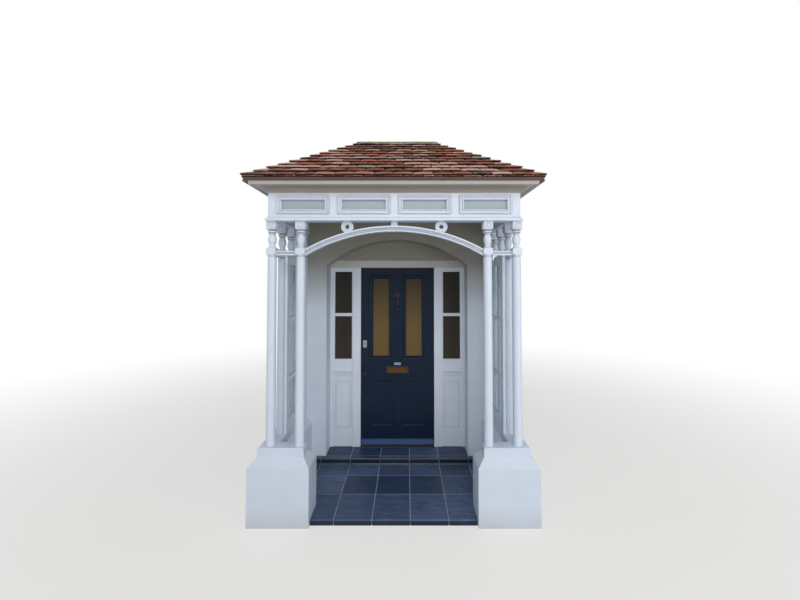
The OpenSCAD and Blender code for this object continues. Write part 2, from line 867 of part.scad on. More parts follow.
module frieze_sides() {
    color(white) from_wall() for (side = [-1, 1]) on_side(side) frieze_side();
}

module frieze_glass() {
    color(glass) from_wall() {
        at_front() frieze_panes(-frieze_half_w, front_panels, 2 * frieze_half_w);
        for (side = [-1, 1]) on_side(side)
            at_side() frieze_panes(-frieze_reach, side_panels, frieze_reach);
    }
}

// Eaves

// Sweeps a profile (x outward, y up) round the three free sides
module round_three_sides(hw, reach, out) {
    front_run(hw, reach, out) children();
    side_runs(hw, reach, out) children();
}

module cornice() {
    color(white) from_wall() translate([0, 0, frieze_top])
        round_three_sides(frieze_half_w, frieze_reach, cove) difference() {
            square(cove);
            translate([cove, 0]) circle(r = cove_r);
        }
}

module soffit() {
    color(white) from_wall() translate([0, 0, soffit_z])
        round_three_sides(frieze_half_w, frieze_reach, eave_out) square([eave_out - fascia_t, soffit_t]);
}

module fascia() {
    color(white) from_wall() translate([0, 0, fascia_z])
        round_three_sides(fascia_half_w, fascia_reach, eps) translate([-fascia_t, 0])
            square([fascia_t, fascia_h]);
}

module ceiling() {
    inner_x = frieze_half_w - frieze_t;
    color(white) from_wall()
        block([-inner_x, -frieze_reach + frieze_t, frieze_top - ceiling_t], [inner_x, 0, frieze_top]);
}

// Roof

// Upright section of a slope that runs back by run: x in from the edge of the tiles, y up
module slope_section(run) {
    p = atan2(roof_rise, run);
    gauge = norm([run, roof_rise]) / courses;
    deck = (tile_t + deck_t) / cos(p);
    seat = tile_over + fascia_t;
    far = run + 2 * tile_butt;
    polygon(concat(
        [for (k = [0:courses - 1], q = [[k * gauge, 0], [(k + 1) * gauge, tile_butt]])
            [q[0] * cos(p) + q[1] * sin(p), q[0] * sin(p) - q[1] * cos(p)]],
        [[far, far * tan(p) - deck], [seat, seat * tan(p) - deck], [seat, -eave_lift],
            [tile_over, -eave_lift], [tile_t * sin(p), -tile_t * cos(p)]]
    ));
}

module roof_front() {
    color(tile_red) from_wall() intersection() {
        translate([-eave_half_w, -eave_reach, eave_z]) rotate([90, 0, 90])
            linear_extrude(2 * eave_half_w) slope_section(eave_reach);
        linear_extrude(tall) polygon([
            [-eave_half_w, -eave_reach], [eave_half_w, -eave_reach],
            [ridge_half_w, 0], [-ridge_half_w, 0]
        ]);
    }
}

module roof_side(side) {
    color(tile_red) from_wall() on_side(side) intersection() {
        translate([eave_half_w, 0, eave_z]) rotate([90, 0, 0]) linear_extrude(eave_reach)
            mirror([1, 0, 0]) slope_section(side_run);
        linear_extrude(tall) polygon([
            [eave_half_w, -eave_reach], [eave_half_w, 0], [ridge_half_w, 0]
        ]);
    }
}
module roof_left() { roof_side(-1); }
module roof_right() { roof_side(1); }

// Side screens

screen_front_y = side_post_y[0] - block_face;
screen_top = transom_z + rail_h;
// Heights between which each pane sits
pane_z = [
    [seat_z + screen_foot, lower_rail_z],
    [lower_rail_z + screen_rail_h, upper_rail_z],
    [upper_rail_z + screen_rail_h, screen_top - screen_head]
];

module side_screens() {
    color(white) from_wall() for (side = [-1, 1]) on_side(side) difference() {
        block([screen_in_x, screen_front_y, seat_z], [screen_out_x, 0, screen_top]);
        for (p = pane_z)
            block([screen_in_x - eps, screen_front_y + screen_stile, p[0]],
                [screen_out_x + eps, -screen_stile, p[1]]);
    }
}

module screen_glass() {
    mid = (screen_in_x + screen_out_x) / 2;
    color(glass) from_wall() for (side = [-1, 1]) on_side(side) for (p = pane_z)
        block([mid - glass_t / 2, screen_front_y + screen_stile, p[0]],
            [mid + glass_t / 2, -screen_stile, p[1]]);
}

// Door frame

module frame_posts() {
    color(white) from_wall() for (side = [-1, 1]) on_side(side) {
        difference() {
            block([doorway_half, recess_depth, step_h], [mullion_out, frame_back, head_z]);
            block([doorway_half - eps, recess_depth + stop_t, step_h - eps],
                [doorway_half + rebate, frame_back + eps, head_z + eps]);
        }
        block([recess_half_w - jamb_w, recess_depth, step_h], [recess_half_w, frame_back, head_z]);
    }
}

module frame_head() {
    color(white) from_wall() difference() {
        block([-recess_half_w, recess_depth, head_z], [recess_half_w, frame_back, head_top_z]);
        block([-doorway_half - rebate, recess_depth + stop_t, head_z - eps],
            [doorway_half + rebate, frame_back + eps, head_z + rebate]);
    }
}

module sidelight_rails() {
    x0 = mullion_out;
    x1 = recess_half_w - jamb_w;
    set_back = 12;
    y0 = recess_depth + set_back;
    y1 = frame_back - set_back;
    bar_top = glazing_bar_z + glazing_bar_h;
    panel_in = 24;
    panel_foot = 205;
    panel_under = 86;
    color(white) from_wall() for (side = [-1, 1]) on_side(side) union() {
        difference() {
            block([x0, y0, step_h], [x1, y1, head_z]);
            block([x0 + sash_border, y0 - eps, side_glass_z], [x1 - sash_border, y1 + eps, glazing_bar_z]);
            block([x0 + sash_border, y0 - eps, bar_top], [x1 - sash_border, y1 + eps, side_glass_top]);
            block([x0 + panel_in, y0 - eps, step_h + panel_foot],
                [x1 - panel_in, y0 + set_back, ledge_z - panel_under]);
        }
        // ledge between the glass and the lower panel
        block([x0, recess_depth - ledge_out, ledge_z], [x1, y0 + eps, ledge_z + ledge_h]);
    }
}

module sidelight_glass() {
    x0 = mullion_out + sash_border;
    x1 = recess_half_w - jamb_w - sash_border;
    y = (recess_depth + frame_back) / 2;
    color([0.2, 0.2, 0.17]) from_wall() for (side = [-1, 1]) on_side(side) {
        block([x0, y, side_glass_z], [x1, y + glass_t, glazing_bar_z]);
        block([x0, y, glazing_bar_z + glazing_bar_h], [x1, y + glass_t, side_glass_top]);
    }
}

module threshold() {
    nose = 20;
    color("dimgray") from_wall()
        block([-doorway_half, recess_depth - nose, step_h],
            [doorway_half, frame_back, step_h + threshold_h]);
}

// Door

module light_blocks(y0, y1) {
    for (side = [-1, 1]) on_side(side)
        block([light_near_x, y0, light_z], [light_near_x + light_w, y1, light_z + light_h]);
}

module door_leaf() {
    color(navy) from_wall() difference() {
        block([-leaf_half, leaf_front, leaf_z], [leaf_half, leaf_back, leaf_top]);
        light_blocks(leaf_front - eps, leaf_back + eps);
        // sunk lower panels on both faces
        for (side = [-1, 1]) on_side(side) {
            block([panel_near_x, leaf_front - eps, panel_z],
                [panel_near_x + panel_w, leaf_front + panel_sink, panel_top]);
            block([panel_near_x, leaf_back - panel_sink, panel_z],
                [panel_near_x + panel_w, leaf_back + eps, panel_top]);
        }
        // letter slot
        block([-slot_w / 2, leaf_front - eps, slot_z], [slot_w / 2, leaf_back + eps, slot_z + slot_h]);
    }
}

module door_glass() {
    y = leaf_front + (leaf_t - glass_t) / 2;
    color([0.35, 0.29, 0.18]) from_wall() light_blocks(y, y + glass_t);
}

// Section of the raised moulding round a light: bead, hollow and a slope down to the glass
module light_moulding() {
    w = mould_w;
    o = mould_out;
    polygon([
        [0, 0], [0, o - 4], [3, o - 1], [7, o], [11, o - 2], [16, o - 5],
        [w - 15, o - 4], [w - 9, o - 1], [w - 5, o - 1], [w, 1.5], [w, 0]
    ]);
}

// Section of the ovolo round a lower panel
module ovolo() {
    polygon([[0, -panel_sink], [0, 0], [ovolo_w * 0.5, -1], [ovolo_w * 0.85, -panel_sink + 1.5],
        [ovolo_w, -panel_sink]]);
}

module door_mouldings() {
    color(navy) from_wall() for (side = [-1, 1]) on_side(side) {
        translate([light_near_x - mould_w, leaf_front, light_z - mould_w])
            union() mitred_frame(light_w + 2 * mould_w, light_h + 2 * mould_w) light_moulding();
        translate([panel_near_x, leaf_front, panel_z])
            union() mitred_frame(panel_w, door_panel_h) ovolo();
    }
}

module weather_bar() {
    w = doorway_half - leaf_gap;
    lip = 5;
    toe = 16;
    color([0.17, 0.26, 0.42]) from_wall() translate([-w, leaf_front, leaf_z])
        rotate([90, 0, 90]) linear_extrude(2 * w) polygon([
            [0, 0], [0, weather_h], [-lip, weather_h], [-lip - 3, weather_h - 8],
            [-weather_out, toe], [-weather_out, 4], [4 - weather_out, 0]
        ]);
}

// Hinges

module knuckle(z0, z1) {
    translate([hinge_x, hinge_y, z0]) cylinder(h = z1 - z0, d = knuckle_d);
}

// Thin plate beside the knuckles, on the frame side for 1 and on the door side for -1
module hinge_plate(side, z) {
    x0 = knuckle_d / 2 + knuckle_gap;
    block([hinge_x + side * x0, frame_back, z],
        [hinge_x + side * (x0 + hinge_plate_w), frame_back + hinge_plate_t, z + hinge_h]);
}

// Strap from the plate to a knuckle between two heights
module hinge_strap(side, z0, z1) {
    lap = knuckle_d / 2 + 2 * knuckle_gap;
    block([hinge_x, hinge_y - knuckle_d / 2, z0],
        [hinge_x + side * lap, frame_back + hinge_plate_t, z1]);
}

module hinges_frame() {
    color("dimgray") from_wall() for (z = hinge_zs) union() {
        hinge_plate(1, z);
        for (z0 = [z, z + hinge_h - knuckle_end_h]) {
            knuckle(z0, z0 + knuckle_end_h);
            hinge_strap(1, z0, z0 + knuckle_end_h);
        }
        translate([hinge_x, hinge_y, z]) cylinder(h = hinge_h, d = hinge_pin_d);
    }
}

module hinges_door() {
    z0 = knuckle_end_h + knuckle_gap;
    z1 = hinge_h - z0;
    color("dimgray") from_wall() for (z = hinge_zs) difference() {
        union() {
            hinge_plate(-1, z);
            knuckle(z + z0, z + z1);
            hinge_strap(-1, z + z0, z + z1);
        }
        translate([hinge_x, hinge_y, z - eps])
            cylinder(h = hinge_h + 2 * eps, d = hinge_pin_d + 2 * pin_clear);
    }
}

// Door furniture

module letter_plate() {
    lug_x = flap_half + 1;
    lug_d = flap_roll_d + 2;
    color(brass) from_wall() difference() {
        union() {
            block([-letter_w / 2, letter_y, letter_z], [letter_w / 2, leaf_front, letter_z + letter_h]);
            for (side = [-1, 1]) on_side(side) {
                bar_x([lug_x, flap_axis_y, flap_axis_z], flap_lug_w, lug_d);
                block([lug_x, flap_axis_y, flap_axis_z - lug_d / 2],
                    [lug_x + flap_lug_w, letter_y + 1, flap_axis_z + lug_d / 2]);
            }
        }
        block([-slot_w / 2, letter_y - eps, slot_z], [slot_w / 2, leaf_front + eps, slot_z + slot_h]);
        bar_x([-letter_w / 2, flap_axis_y, flap_axis_z], letter_w, flap_rod_d + 2 * pin_clear);
    }
}

module letter_flap() {
    flap_out = 2;
    flap_in = 1.5;
    color(brass) from_wall() union() {
        bar_x([-flap_half, flap_axis_y, flap_axis_z], 2 * flap_half, flap_roll_d);
        bar_x([-flap_half - flap_lug_w, flap_axis_y, flap_axis_z], 2 * (flap_half + flap_lug_w), flap_rod_d);
        block([-flap_half, flap_axis_y - flap_out, slot_z - flap_lap],
            [flap_half, flap_axis_y + flap_in, flap_axis_z]);
    }
}

// Rose with a raised rim and two ears for the knocker, its striking stud and the keyhole ring
module door_fittings() {
    rose_t = 5;
    rim = 6;
    r = rose_d / 2;
    color(bronze) from_wall() {
        difference() {
            union() {
                facing_street([0, leaf_front, knocker_pin_z]) rotate_extrude() polygon([
                    [0, 0], [r, 0], [r, rose_t - 1], [r - 2, rose_t + 1], [r - rim + 1, rose_t + 1],
                    [r - rim, rose_t - 1], [r - rim - 3, rose_t - 2], [0, rose_t - 2]
                ]);
                for (x = [-ear_in - ear_t, ear_in]) {
                    block([x, knocker_y, knocker_pin_z - ear_r],
                        [x + ear_t, leaf_front - 1, knocker_pin_z + ear_r]);
                    bar_x([x, knocker_y, knocker_pin_z], ear_t, 2 * ear_r);
                }
            }
            bar_x([-rose_d, knocker_y, knocker_pin_z], 2 * rose_d, knocker_pin_d + 2 * pin_clear);
        }
        facing_street([0, leaf_front, knocker_z + olive_d / 2])
            cylinder(h = stud_t, r1 = olive_d * 0.44, r2 = olive_d * 0.36);
        facing_street([-latch_x, leaf_front, keyhole_z]) rotate_extrude()
            polygon([[7, 0], [15, 0], [15, 1.5], [12, 3], [8, 3], [7, 2]]);
    }
}

// Shield plate with the cylinder of the latch
module door_latch() {
    plate_t = 4;
    r = latch_w / 2;
    color("silver") from_wall() facing_street([-latch_x, leaf_front, latch_z]) union() {
        linear_extrude(plate_t) union() {
            translate([-r, r - latch_h / 2]) square([latch_w, latch_h - r]);
            translate([0, r - latch_h / 2]) circle(d = latch_w);
        }
        rotate_extrude() polygon([
            [0, 0], [16, 0], [16, 5], [14, 8], [14, 11], [12, 13], [4, 13], [4, 11], [0, 11]
        ]);
    }
}

// Half section of the knocker's arm (radius, height) from the olive up to the barrel
function arm_section(l) = let (r = arm_d / 2) [
    [0, 0], [r * 0.5, 0], [r * 0.5, l * 0.14], [r * 0.75, l * 0.17], [r * 0.5, l * 0.2],
    [r * 0.62, l * 0.3], [r * 0.9, l * 0.4], [r, l * 0.48], [r * 0.9, l * 0.56], [r * 0.6, l * 0.68],
    [r * 0.45, l * 0.8], [r * 0.45, l], [0, l]
];

// Half section of the olive (radius, place along it)
function olive_section() = concat(
    [[0, 0]],
    [for (k = [0:8]) let (t = k / 8) [olive_d * (0.3 + 0.2 * sin(180 * t)), olive_l * t]],
    [[0, olive_l]]
);

module knocker() {
    barrel_half = ear_in - 1;
    arm_l = knocker_l - olive_d / 2;
    color(bronze) from_wall() union() {
        bar_x([-ear_in - ear_t, knocker_y, knocker_pin_z], 2 * (ear_in + ear_t), knocker_pin_d);
        bar_x([-barrel_half, knocker_y, knocker_pin_z], 2 * barrel_half, 2 * ear_r - 2);
        translate([0, knocker_y, knocker_pin_z - arm_l]) {
            rotate_extrude() polygon(arm_section(arm_l));
            translate([-olive_l / 2, 0, 0]) rotate([0, 90, 0]) rotate_extrude() polygon(olive_section());
        }
    }
}

wall_left();
wall_right();
wall_over();
plinth_left();
plinth_right();
plinth_caps();
porch_floor();
door_step();
step_trims();
front_posts_left();
front_posts_right();
side_posts_left();
side_posts_right();
transoms();
brackets();
arch_rib();
arch_discs();
frieze_front();
frieze_sides();
frieze_glass();
cornice();
soffit();
fascia();
ceiling();
roof_front();
roof_left();
roof_right();
side_screens();
screen_glass();
frame_posts();
frame_head();
sidelight_rails();
sidelight_glass();
threshold();
door_leaf();
door_glass();
door_mouldings();
weather_bar();
hinges_frame();
hinges_door();
letter_plate();
door_fittings();
door_latch();
letter_flap();
knocker();
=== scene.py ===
import bmesh
import bpy
import math
import random
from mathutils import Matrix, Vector


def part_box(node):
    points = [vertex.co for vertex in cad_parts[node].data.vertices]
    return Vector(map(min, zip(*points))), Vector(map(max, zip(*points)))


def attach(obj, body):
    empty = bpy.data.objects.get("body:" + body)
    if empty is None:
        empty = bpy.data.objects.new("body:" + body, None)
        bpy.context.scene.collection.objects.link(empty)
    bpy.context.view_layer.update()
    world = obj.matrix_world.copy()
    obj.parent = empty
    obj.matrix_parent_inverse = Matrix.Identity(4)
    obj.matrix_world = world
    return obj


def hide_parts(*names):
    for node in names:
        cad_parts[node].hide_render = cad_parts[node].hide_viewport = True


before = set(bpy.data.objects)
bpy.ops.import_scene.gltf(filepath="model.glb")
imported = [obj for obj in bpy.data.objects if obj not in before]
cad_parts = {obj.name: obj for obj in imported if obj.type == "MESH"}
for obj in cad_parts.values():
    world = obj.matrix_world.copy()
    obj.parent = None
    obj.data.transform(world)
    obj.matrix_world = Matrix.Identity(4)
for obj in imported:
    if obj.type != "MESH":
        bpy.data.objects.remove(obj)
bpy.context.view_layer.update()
# The house wall's face; everything in front of it lies at lower y
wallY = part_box("wall_left")[0].y
print("model loaded,", len(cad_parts), "nodes")


def fromHex(code):
    # sRGB hex to the linear colour that a shader takes
    parts = [int(code[i:i + 2], 16) / 255 for i in (1, 3, 5)]
    return [p / 12.92 if p <= 0.04045 else ((p + 0.055) / 1.055) ** 2.4 for p in parts] + [1]


def addNode(tree, kind, values=None, links=None, **settings):
    # values fill sockets by name or number, links join other nodes' outputs to them
    node = tree.nodes.new(kind)
    for name, value in settings.items():
        setattr(node, name, value)
    for name, value in (values or {}).items():
        node.inputs[name].default_value = value
    for name, source in (links or {}).items():
        tree.links.new(source, node.inputs[name])
    return node


def startMaterial(name, **shaderValues):
    # A material with its shader, and coordinates in metres that stay with the piece
    material = bpy.data.materials.new(name)
    material.use_nodes = True
    tree = material.node_tree
    tree.nodes.clear()
    shader = addNode(tree, "ShaderNodeBsdfPrincipled", shaderValues)
    addNode(tree, "ShaderNodeOutputMaterial", links={"Surface": shader.outputs[0]})
    place = addNode(tree, "ShaderNodeTexCoord").outputs["Object"]
    return material, tree, shader, place


def finishMaterial(material, shader, color, normal, roughness=None):
    # Joins the colour, the bumps and, where it varies, the roughness to the shader
    links = material.node_tree.links
    links.new(color, shader.inputs["Base Color"])
    links.new(normal, shader.inputs["Normal"])
    if roughness is not None:
        links.new(roughness, shader.inputs["Roughness"])
    return material


def perMetre(millimetres):
    # Texture scale for a pattern whose repeat is this long
    return 1000 / millimetres


def noise(tree, place, repeat, detail, **values):
    # Soft clouds, about as many millimetres wide as repeat says
    values.update({"Scale": perMetre(repeat), "Detail": detail})
    return addNode(tree, "ShaderNodeTexNoise", values, {"Vector": place}).outputs["Fac"]


def drawnOut(tree, place, along, share):
    # Coordinates that stretch a pattern along one axis, the more the smaller the share
    scale = [1, 1, 1]
    scale["xyz".index(along)] = share
    return addNode(tree, "ShaderNodeMapping", {"Scale": scale}, {"Vector": place}).outputs[0]


def mixColors(tree, share, low, high):
    # From low to high as the share rises; each is a hex colour or another node's output
    values = {}
    links = {0: share}
    for socket, color in ((6, low), (7, high)):
        if isinstance(color, str):
            values[socket] = fromHex(color)
        else:
            links[socket] = color
    return addNode(tree, "ShaderNodeMix", values, links, data_type="RGBA").outputs[2]


def mapRange(tree, value, source=(0, 1), target=(0, 1), **settings):
    # Carries a value from one range over to another
    ends = {"From Min": source[0], "From Max": source[1], "To Min": target[0], "To Max": target[1]}
    return addNode(tree, "ShaderNodeMapRange", ends, {"Value": value}, **settings).outputs[0]


def calculate(tree, operation, *terms):
    # One step of arithmetic on outputs or plain numbers
    values = {}
    links = {}
    for socket, term in enumerate(terms):
        if isinstance(term, (int, float)):
            values[socket] = term
        else:
            links[socket] = term
    return addNode(tree, "ShaderNodeMath", values, links, operation=operation).outputs[0]


def bump(tree, height, strength, depth, over=None):
    # Bumps of a depth in metres; over is the slower bump that they lie on
    links = {"Height": height}
    if over is not None:
        links["Normal"] = over
    values = {"Strength": strength, "Distance": depth}
    return addNode(tree, "ShaderNodeBump", values, links).outputs[0]


# Materials

glossSizes = {
    "streakWidth": 9,       # mm, a brush leaves about 2, drawn coarser so that it shows
    "streakLength": 160,
    "streakDepth": 0.00022,
    "unevenness": 260,      # mm, slow waves of the planed and filled wood under the paint
    "waveDepth": 0.0012,
    "shadeReach": 0.016,     # m out of a corner or groove that the painted shade reaches
    "shadeOpen": (0.45, 0.92),   # how open a spot is where the painted shade is darkest and where it ends
    # colour that the painted shade in grooves and corners darkens to
    "soilAndShade": "#7D838C",
}


def glossPaint(name, hexColor, hexShade, along, roughness=0.3, specular=0.4, cornerShade=0.9):
    # Brushed gloss oil paint on softwood: a soft shine broken by long faint streaks, with painted
    # shade in its grooves and inner corners
    material, tree, shader, place = startMaterial(
        name, Roughness=roughness, **{"Specular IOR Level": specular})
    s = glossSizes
    grain = drawnOut(tree, place, along, s["streakWidth"] / s["streakLength"])
    streaks = noise(tree, grain, s["streakWidth"], detail=3, Roughness=0.55)
    waves = noise(tree, place, s["unevenness"], detail=2)
    tint = mixColors(tree, waves, hexShade, hexColor)
    # Painted shade: grooves and inner corners darken the more closed in they are, which draws the
    # mouldings as fine grey lines
    hollow = addNode(
        tree, "ShaderNodeAmbientOcclusion", {"Distance": s["shadeReach"]},
        samples=8, only_local=True)
    shadeShare = mapRange(tree, hollow.outputs["AO"], s["shadeOpen"], (cornerShade, 0.0))
    soiledAndShaded = mixColors(tree, shadeShare, tint, s["soilAndShade"])
    uneven = bump(tree, waves, strength=0.6, depth=s["waveDepth"])
    brushed = bump(tree, streaks, strength=0.7, depth=s["streakDepth"], over=uneven)
    return finishMaterial(material, shader, soiledAndShaded, brushed)


renderSizes = {
    "grit": 3.2,            # mm, sand grains of the top coat, drawn coarser so that they show
    "gritDepth": 0.0006,
    "trowel": 140,          # mm, slow hollows that the float leaves
    "trowelDepth": 0.004,
    "splash": 0.16,         # m above the ground that rain splashes up to
    "splashShare": 0.6,     # of soil at the very foot
    "splashed": "#9C968A",
    "shelterHalf": 0.955,   # m from the middle that the porch shelters
    "shelterDepth": 0.25,   # m behind the wall's face
    "porchShadeFrom": 1.5,        # m, where the painted shade under the ceiling starts
    "porchShadeTo": 2.3,
    # colour that the painted shade inside the porch darkens to
    "porchShadeColor": "#8E8C82",
}


def paintedRender(name, hexColor, hexShade, roughness, grit, porchShade=False):
    # Cement render under masonry paint: flat but never even, with soil along the foot and, inside
    # the porch if asked, painted shade towards the ceiling
    material, tree, shader, place = startMaterial(name, Roughness=roughness)
    s = renderSizes
    hollows = noise(tree, place, s["trowel"], detail=4)
    sand = noise(tree, place, s["grit"], detail=2)
    tint = mixColors(tree, hollows, hexShade, hexColor)
    axes = addNode(tree, "ShaderNodeSeparateXYZ", links={0: place}).outputs
    foot = mapRange(tree, axes["Z"], (0.0, s["splash"]), (s["splashShare"], 0.0))
    patchy = calculate(tree, "MULTIPLY", foot, hollows)
    soiledAndShaded = mixColors(tree, patchy, tint, s["splashed"])
    if porchShade:
        # Painted shade: inside the porch the wall darkens towards the ceiling, for the shade under
        # the porch roof
        share = mapRange(
            tree, axes["Z"], (s["porchShadeFrom"], s["porchShadeTo"]), interpolation_type="SMOOTHSTEP")
        aside = calculate(tree, "ABSOLUTE", axes["X"])
        for distance, limit in ((aside, s["shelterHalf"]),
                                (axes["Y"], wallY + s["shelterDepth"]),
                                (axes["Z"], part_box("ceiling")[1].z)):
            within = calculate(tree, "LESS_THAN", distance, limit)
            share = calculate(tree, "MULTIPLY", share, within)
        soiledAndShaded = mixColors(tree, share, soiledAndShaded, s["porchShadeColor"])
    floated = bump(tree, hollows, strength=0.5, depth=s["trowelDepth"])
    sandy = bump(tree, sand, strength=grit, depth=s["gritDepth"], over=floated)
    return finishMaterial(material, shader, soiledAndShaded, sandy)


def honedSlate(name, hexLow, hexHigh, hexCalm):
    # Honed slate paving: blue-black, clouded along its bedding, a low sheen, no two tiles alike
    material, tree, shader, place = startMaterial(
        name, Roughness=0.4, **{"Specular IOR Level": 0.25})
    island = addNode(tree, "ShaderNodeNewGeometry").outputs["Random Per Island"]
    bedding = addNode(
        tree, "ShaderNodeMapping", {"Scale": (1, 3.2, 1), "Rotation": (0, 0, 0.5)},
        {"Vector": place})
    clouds = noise(
        tree, bedding.outputs[0], repeat=110, detail=5, Roughness=0.6, Distortion=0.3)
    grain = noise(tree, place, repeat=7, detail=3)
    body = mixColors(tree, clouds, hexLow, hexHigh)
    lively = mapRange(tree, island, target=(0.15, 1.0))
    each = mixColors(tree, lively, hexCalm, body)
    sheen = mapRange(tree, clouds, target=(0.28, 0.5))
    clouded = bump(tree, clouds, strength=0.3, depth=0.0016)
    honed = bump(tree, grain, strength=0.5, depth=0.0003, over=clouded)
    return finishMaterial(material, shader, each, honed, sheen)


def cementGrout():
    # Cement grout: pale grey, sandy, a little darker where feet have soiled it
    material, tree, shader, place = startMaterial("cementGrout", Roughness=0.85)
    soilAndShade = noise(tree, place, repeat=90, detail=5)
    sand = noise(tree, place, repeat=2.5, detail=2)
    tint = mixColors(tree, soilAndShade, "#7F878F", "#B4BCC5")
    return finishMaterial(material, shader, tint, bump(tree, sand, strength=0.6, depth=0.0005))


clayColors = {
    "dark": "#6E372E",      # the least weathered tiles
    "warm": "#B0624F",
    "pale": "#D3A89C",      # tiles bleached pink by the weather
    "ashen": "#A89A88",     # tiles grey with old lichen
    "damp": "#2C1815",      # a few that have slipped and stay wet
    "lichen": "#8E8E62",
    "butt": "#1C100D",      # lower edges, nearly black: partly damp and moss, partly painted shade under each course
    "moss": "#3C3A20",
}
# Where each tone lies along the tiles' random numbers from 0 to 1; it blends in between
clayTones = ((0.03, "damp"), (0.05, "dark"), (0.2, "dark"), (0.5, "warm"), (0.72, "pale"),
             (0.9, "pale"), (0.93, "ashen"))
# What lies over the fired clay, from how much to how much, and what grows on it in specks
clayParts = {
    "face": ("pale", (0.0, 0.45), "lichen"),
    "edge": ("lichen", (0.0, 0.7), "moss"),
    "butt": ("butt", (0.9, 1.0), "moss"),
}


def weatheredClay(name, part):
    # Handmade plain clay tiles: sandy and matt, each one its own red, specks of lichen on the face,
    # a mossy arris and a nearly black butt, partly damp and moss and partly painted shade
    material, tree, shader, place = startMaterial(
        name, Roughness=0.9, **{"Specular IOR Level": 0.2})
    island = addNode(tree, "ShaderNodeNewGeometry").outputs["Random Per Island"]
    fired = addNode(tree, "ShaderNodeValToRGB", {}, {"Fac": island})
    ramp = fired.color_ramp
    ramp.elements[0].color = fromHex(clayColors[clayTones[0][1]])
    ramp.elements[1].color = fromHex(clayColors[clayTones[-1][1]])
    for stop, tone in clayTones:
        ramp.elements.new(stop).color = fromHex(clayColors[tone])
    over, shares, grows = clayParts[part]
    blotches = noise(tree, place, repeat=60, detail=5, Roughness=0.65)
    sand = noise(tree, place, repeat=4, detail=3)
    share = mapRange(tree, blotches, (0.38, 0.68), shares)
    weathered = mixColors(tree, share, fired.outputs[0], clayColors[over])
    specks = addNode(
        tree, "ShaderNodeTexVoronoi", {"Scale": perMetre(38), "Randomness": 1.0},
        {"Vector": place})
    ragged = calculate(tree, "ADD", specks.outputs["Distance"], blotches)
    growth = mapRange(tree, ragged, (0.52, 0.62), (0.8, 0.0))
    grown = mixColors(tree, growth, weathered, clayColors[grows])
    uneven = bump(tree, blotches, strength=0.8, depth=0.003)
    sandy = bump(tree, sand, strength=0.8, depth=0.0008, over=uneven)
    return finishMaterial(material, shader, grown, sandy)


def lichenedMortar():
    # Sand and lime mortar struck against the wall: rough, grey, green with old lichen
    material, tree, shader, place = startMaterial("lichenedMortar", Roughness=0.92)
    patches = noise(tree, place, repeat=45, detail=5, Roughness=0.65)
    sand = noise(tree, place, repeat=3.5, detail=3)
    spread = mapRange(tree, patches, (0.4, 0.62))
    tint = mixColors(tree, spread, "#A09C8C", "#76795A")
    return finishMaterial(material, shader, tint, bump(tree, sand, strength=0.8, depth=0.001))


def stainedBoard():
    # Sawn softwood boarding under brown wood stain, seen only from below the eaves
    material, tree, shader, place = startMaterial("stainedBoard", Roughness=0.7)
    rings = noise(tree, drawnOut(tree, place, "x", 0.08), repeat=10, detail=4)
    tint = mixColors(tree, rings, "#54403A", "#7F685E")
    return finishMaterial(material, shader, tint, bump(tree, rings, strength=0.5, depth=0.0008))


def oiledHardwood():
    # Oiled hardwood sill, dark with pale streaks along its grain
    material, tree, shader, place = startMaterial("oiledHardwood", Roughness=0.55)
    rings = noise(tree, drawnOut(tree, place, "x", 0.06), repeat=6, detail=5)
    tint = mixColors(tree, rings, "#2A2725", "#55504C")
    return finishMaterial(material, shader, tint, bump(tree, rings, strength=0.4, depth=0.0005))


metalSizes = {
    "lineStretch": 0.05,    # a polishing line is 20 times as long as it is wide
    "dull": 0.14,           # roughness that tarnish adds
    "bright": 0.1,          # roughness that it loses where it is clean
    "brightest": 0.04,      # no polish is finer than this
    "lineDepth": 0.0001,
}


def metalFinish(name, hexColor, hexTarnish, roughness, along, line, cloud):
    # Metal whose polish is broken by fine lines along one way and by clouds of tarnish
    material, tree, shader, place = startMaterial(name, Metallic=1.0, Roughness=roughness)
    s = metalSizes
    brushed = noise(tree, drawnOut(tree, place, along, s["lineStretch"]), line, detail=2)
    clouds = noise(tree, place, cloud, detail=5)
    tint = mixColors(tree, clouds, hexTarnish, hexColor)
    polish = mapRange(tree, clouds, target=(
        roughness + s["dull"], max(s["brightest"], roughness - s["bright"])))
    lines = bump(tree, brushed, strength=0.5, depth=s["lineDepth"])
    return finishMaterial(material, shader, tint, lines, polish)


def patternGlass(name, hexLow, hexHigh, heights, through, roughness, ripple, depth, shine):
    # Rolled obscured glass: lets light through, no view, with a rippled face; its colour
    # runs from hexLow at the first height to hexHigh at the second
    material, tree, shader, place = startMaterial(
        name, Roughness=roughness, IOR=1.52,
        **{"Transmission Weight": through, "Specular IOR Level": shine})
    axes = addNode(tree, "ShaderNodeSeparateXYZ", links={0: place}).outputs
    # The colour changes with height; where a call darkens it towards the top, that is painted shade
    tint = mixColors(tree, mapRange(tree, axes["Z"], heights), hexLow, hexHigh)
    ripples = bump(tree, noise(tree, place, ripple, detail=2), strength=0.6, depth=depth)
    return finishMaterial(material, shader, tint, ripples)


def sealRubber():
    # Extruded rubber draught seal: black and dull, with a trace of dust
    material, tree, shader, place = startMaterial("sealRubber", Roughness=0.75)
    dust = noise(tree, place, repeat=35, detail=4)
    tint = mixColors(tree, dust, "#07080A", "#1B1D20")
    return finishMaterial(material, shader, tint, bump(tree, dust, strength=0.4, depth=0.0003))


def plateEnamel():
    # Vitreous enamel on a small steel plate: bluish white, bare, very smooth
    material, tree, shader, place = startMaterial("plateEnamel", Roughness=0.12)
    bake = noise(tree, place, repeat=12, detail=3)
    tint = mixColors(tree, bake, "#7E91AB", "#97A9C0")
    return finishMaterial(material, shader, tint, bump(tree, bake, strength=0.3, depth=0.0003))


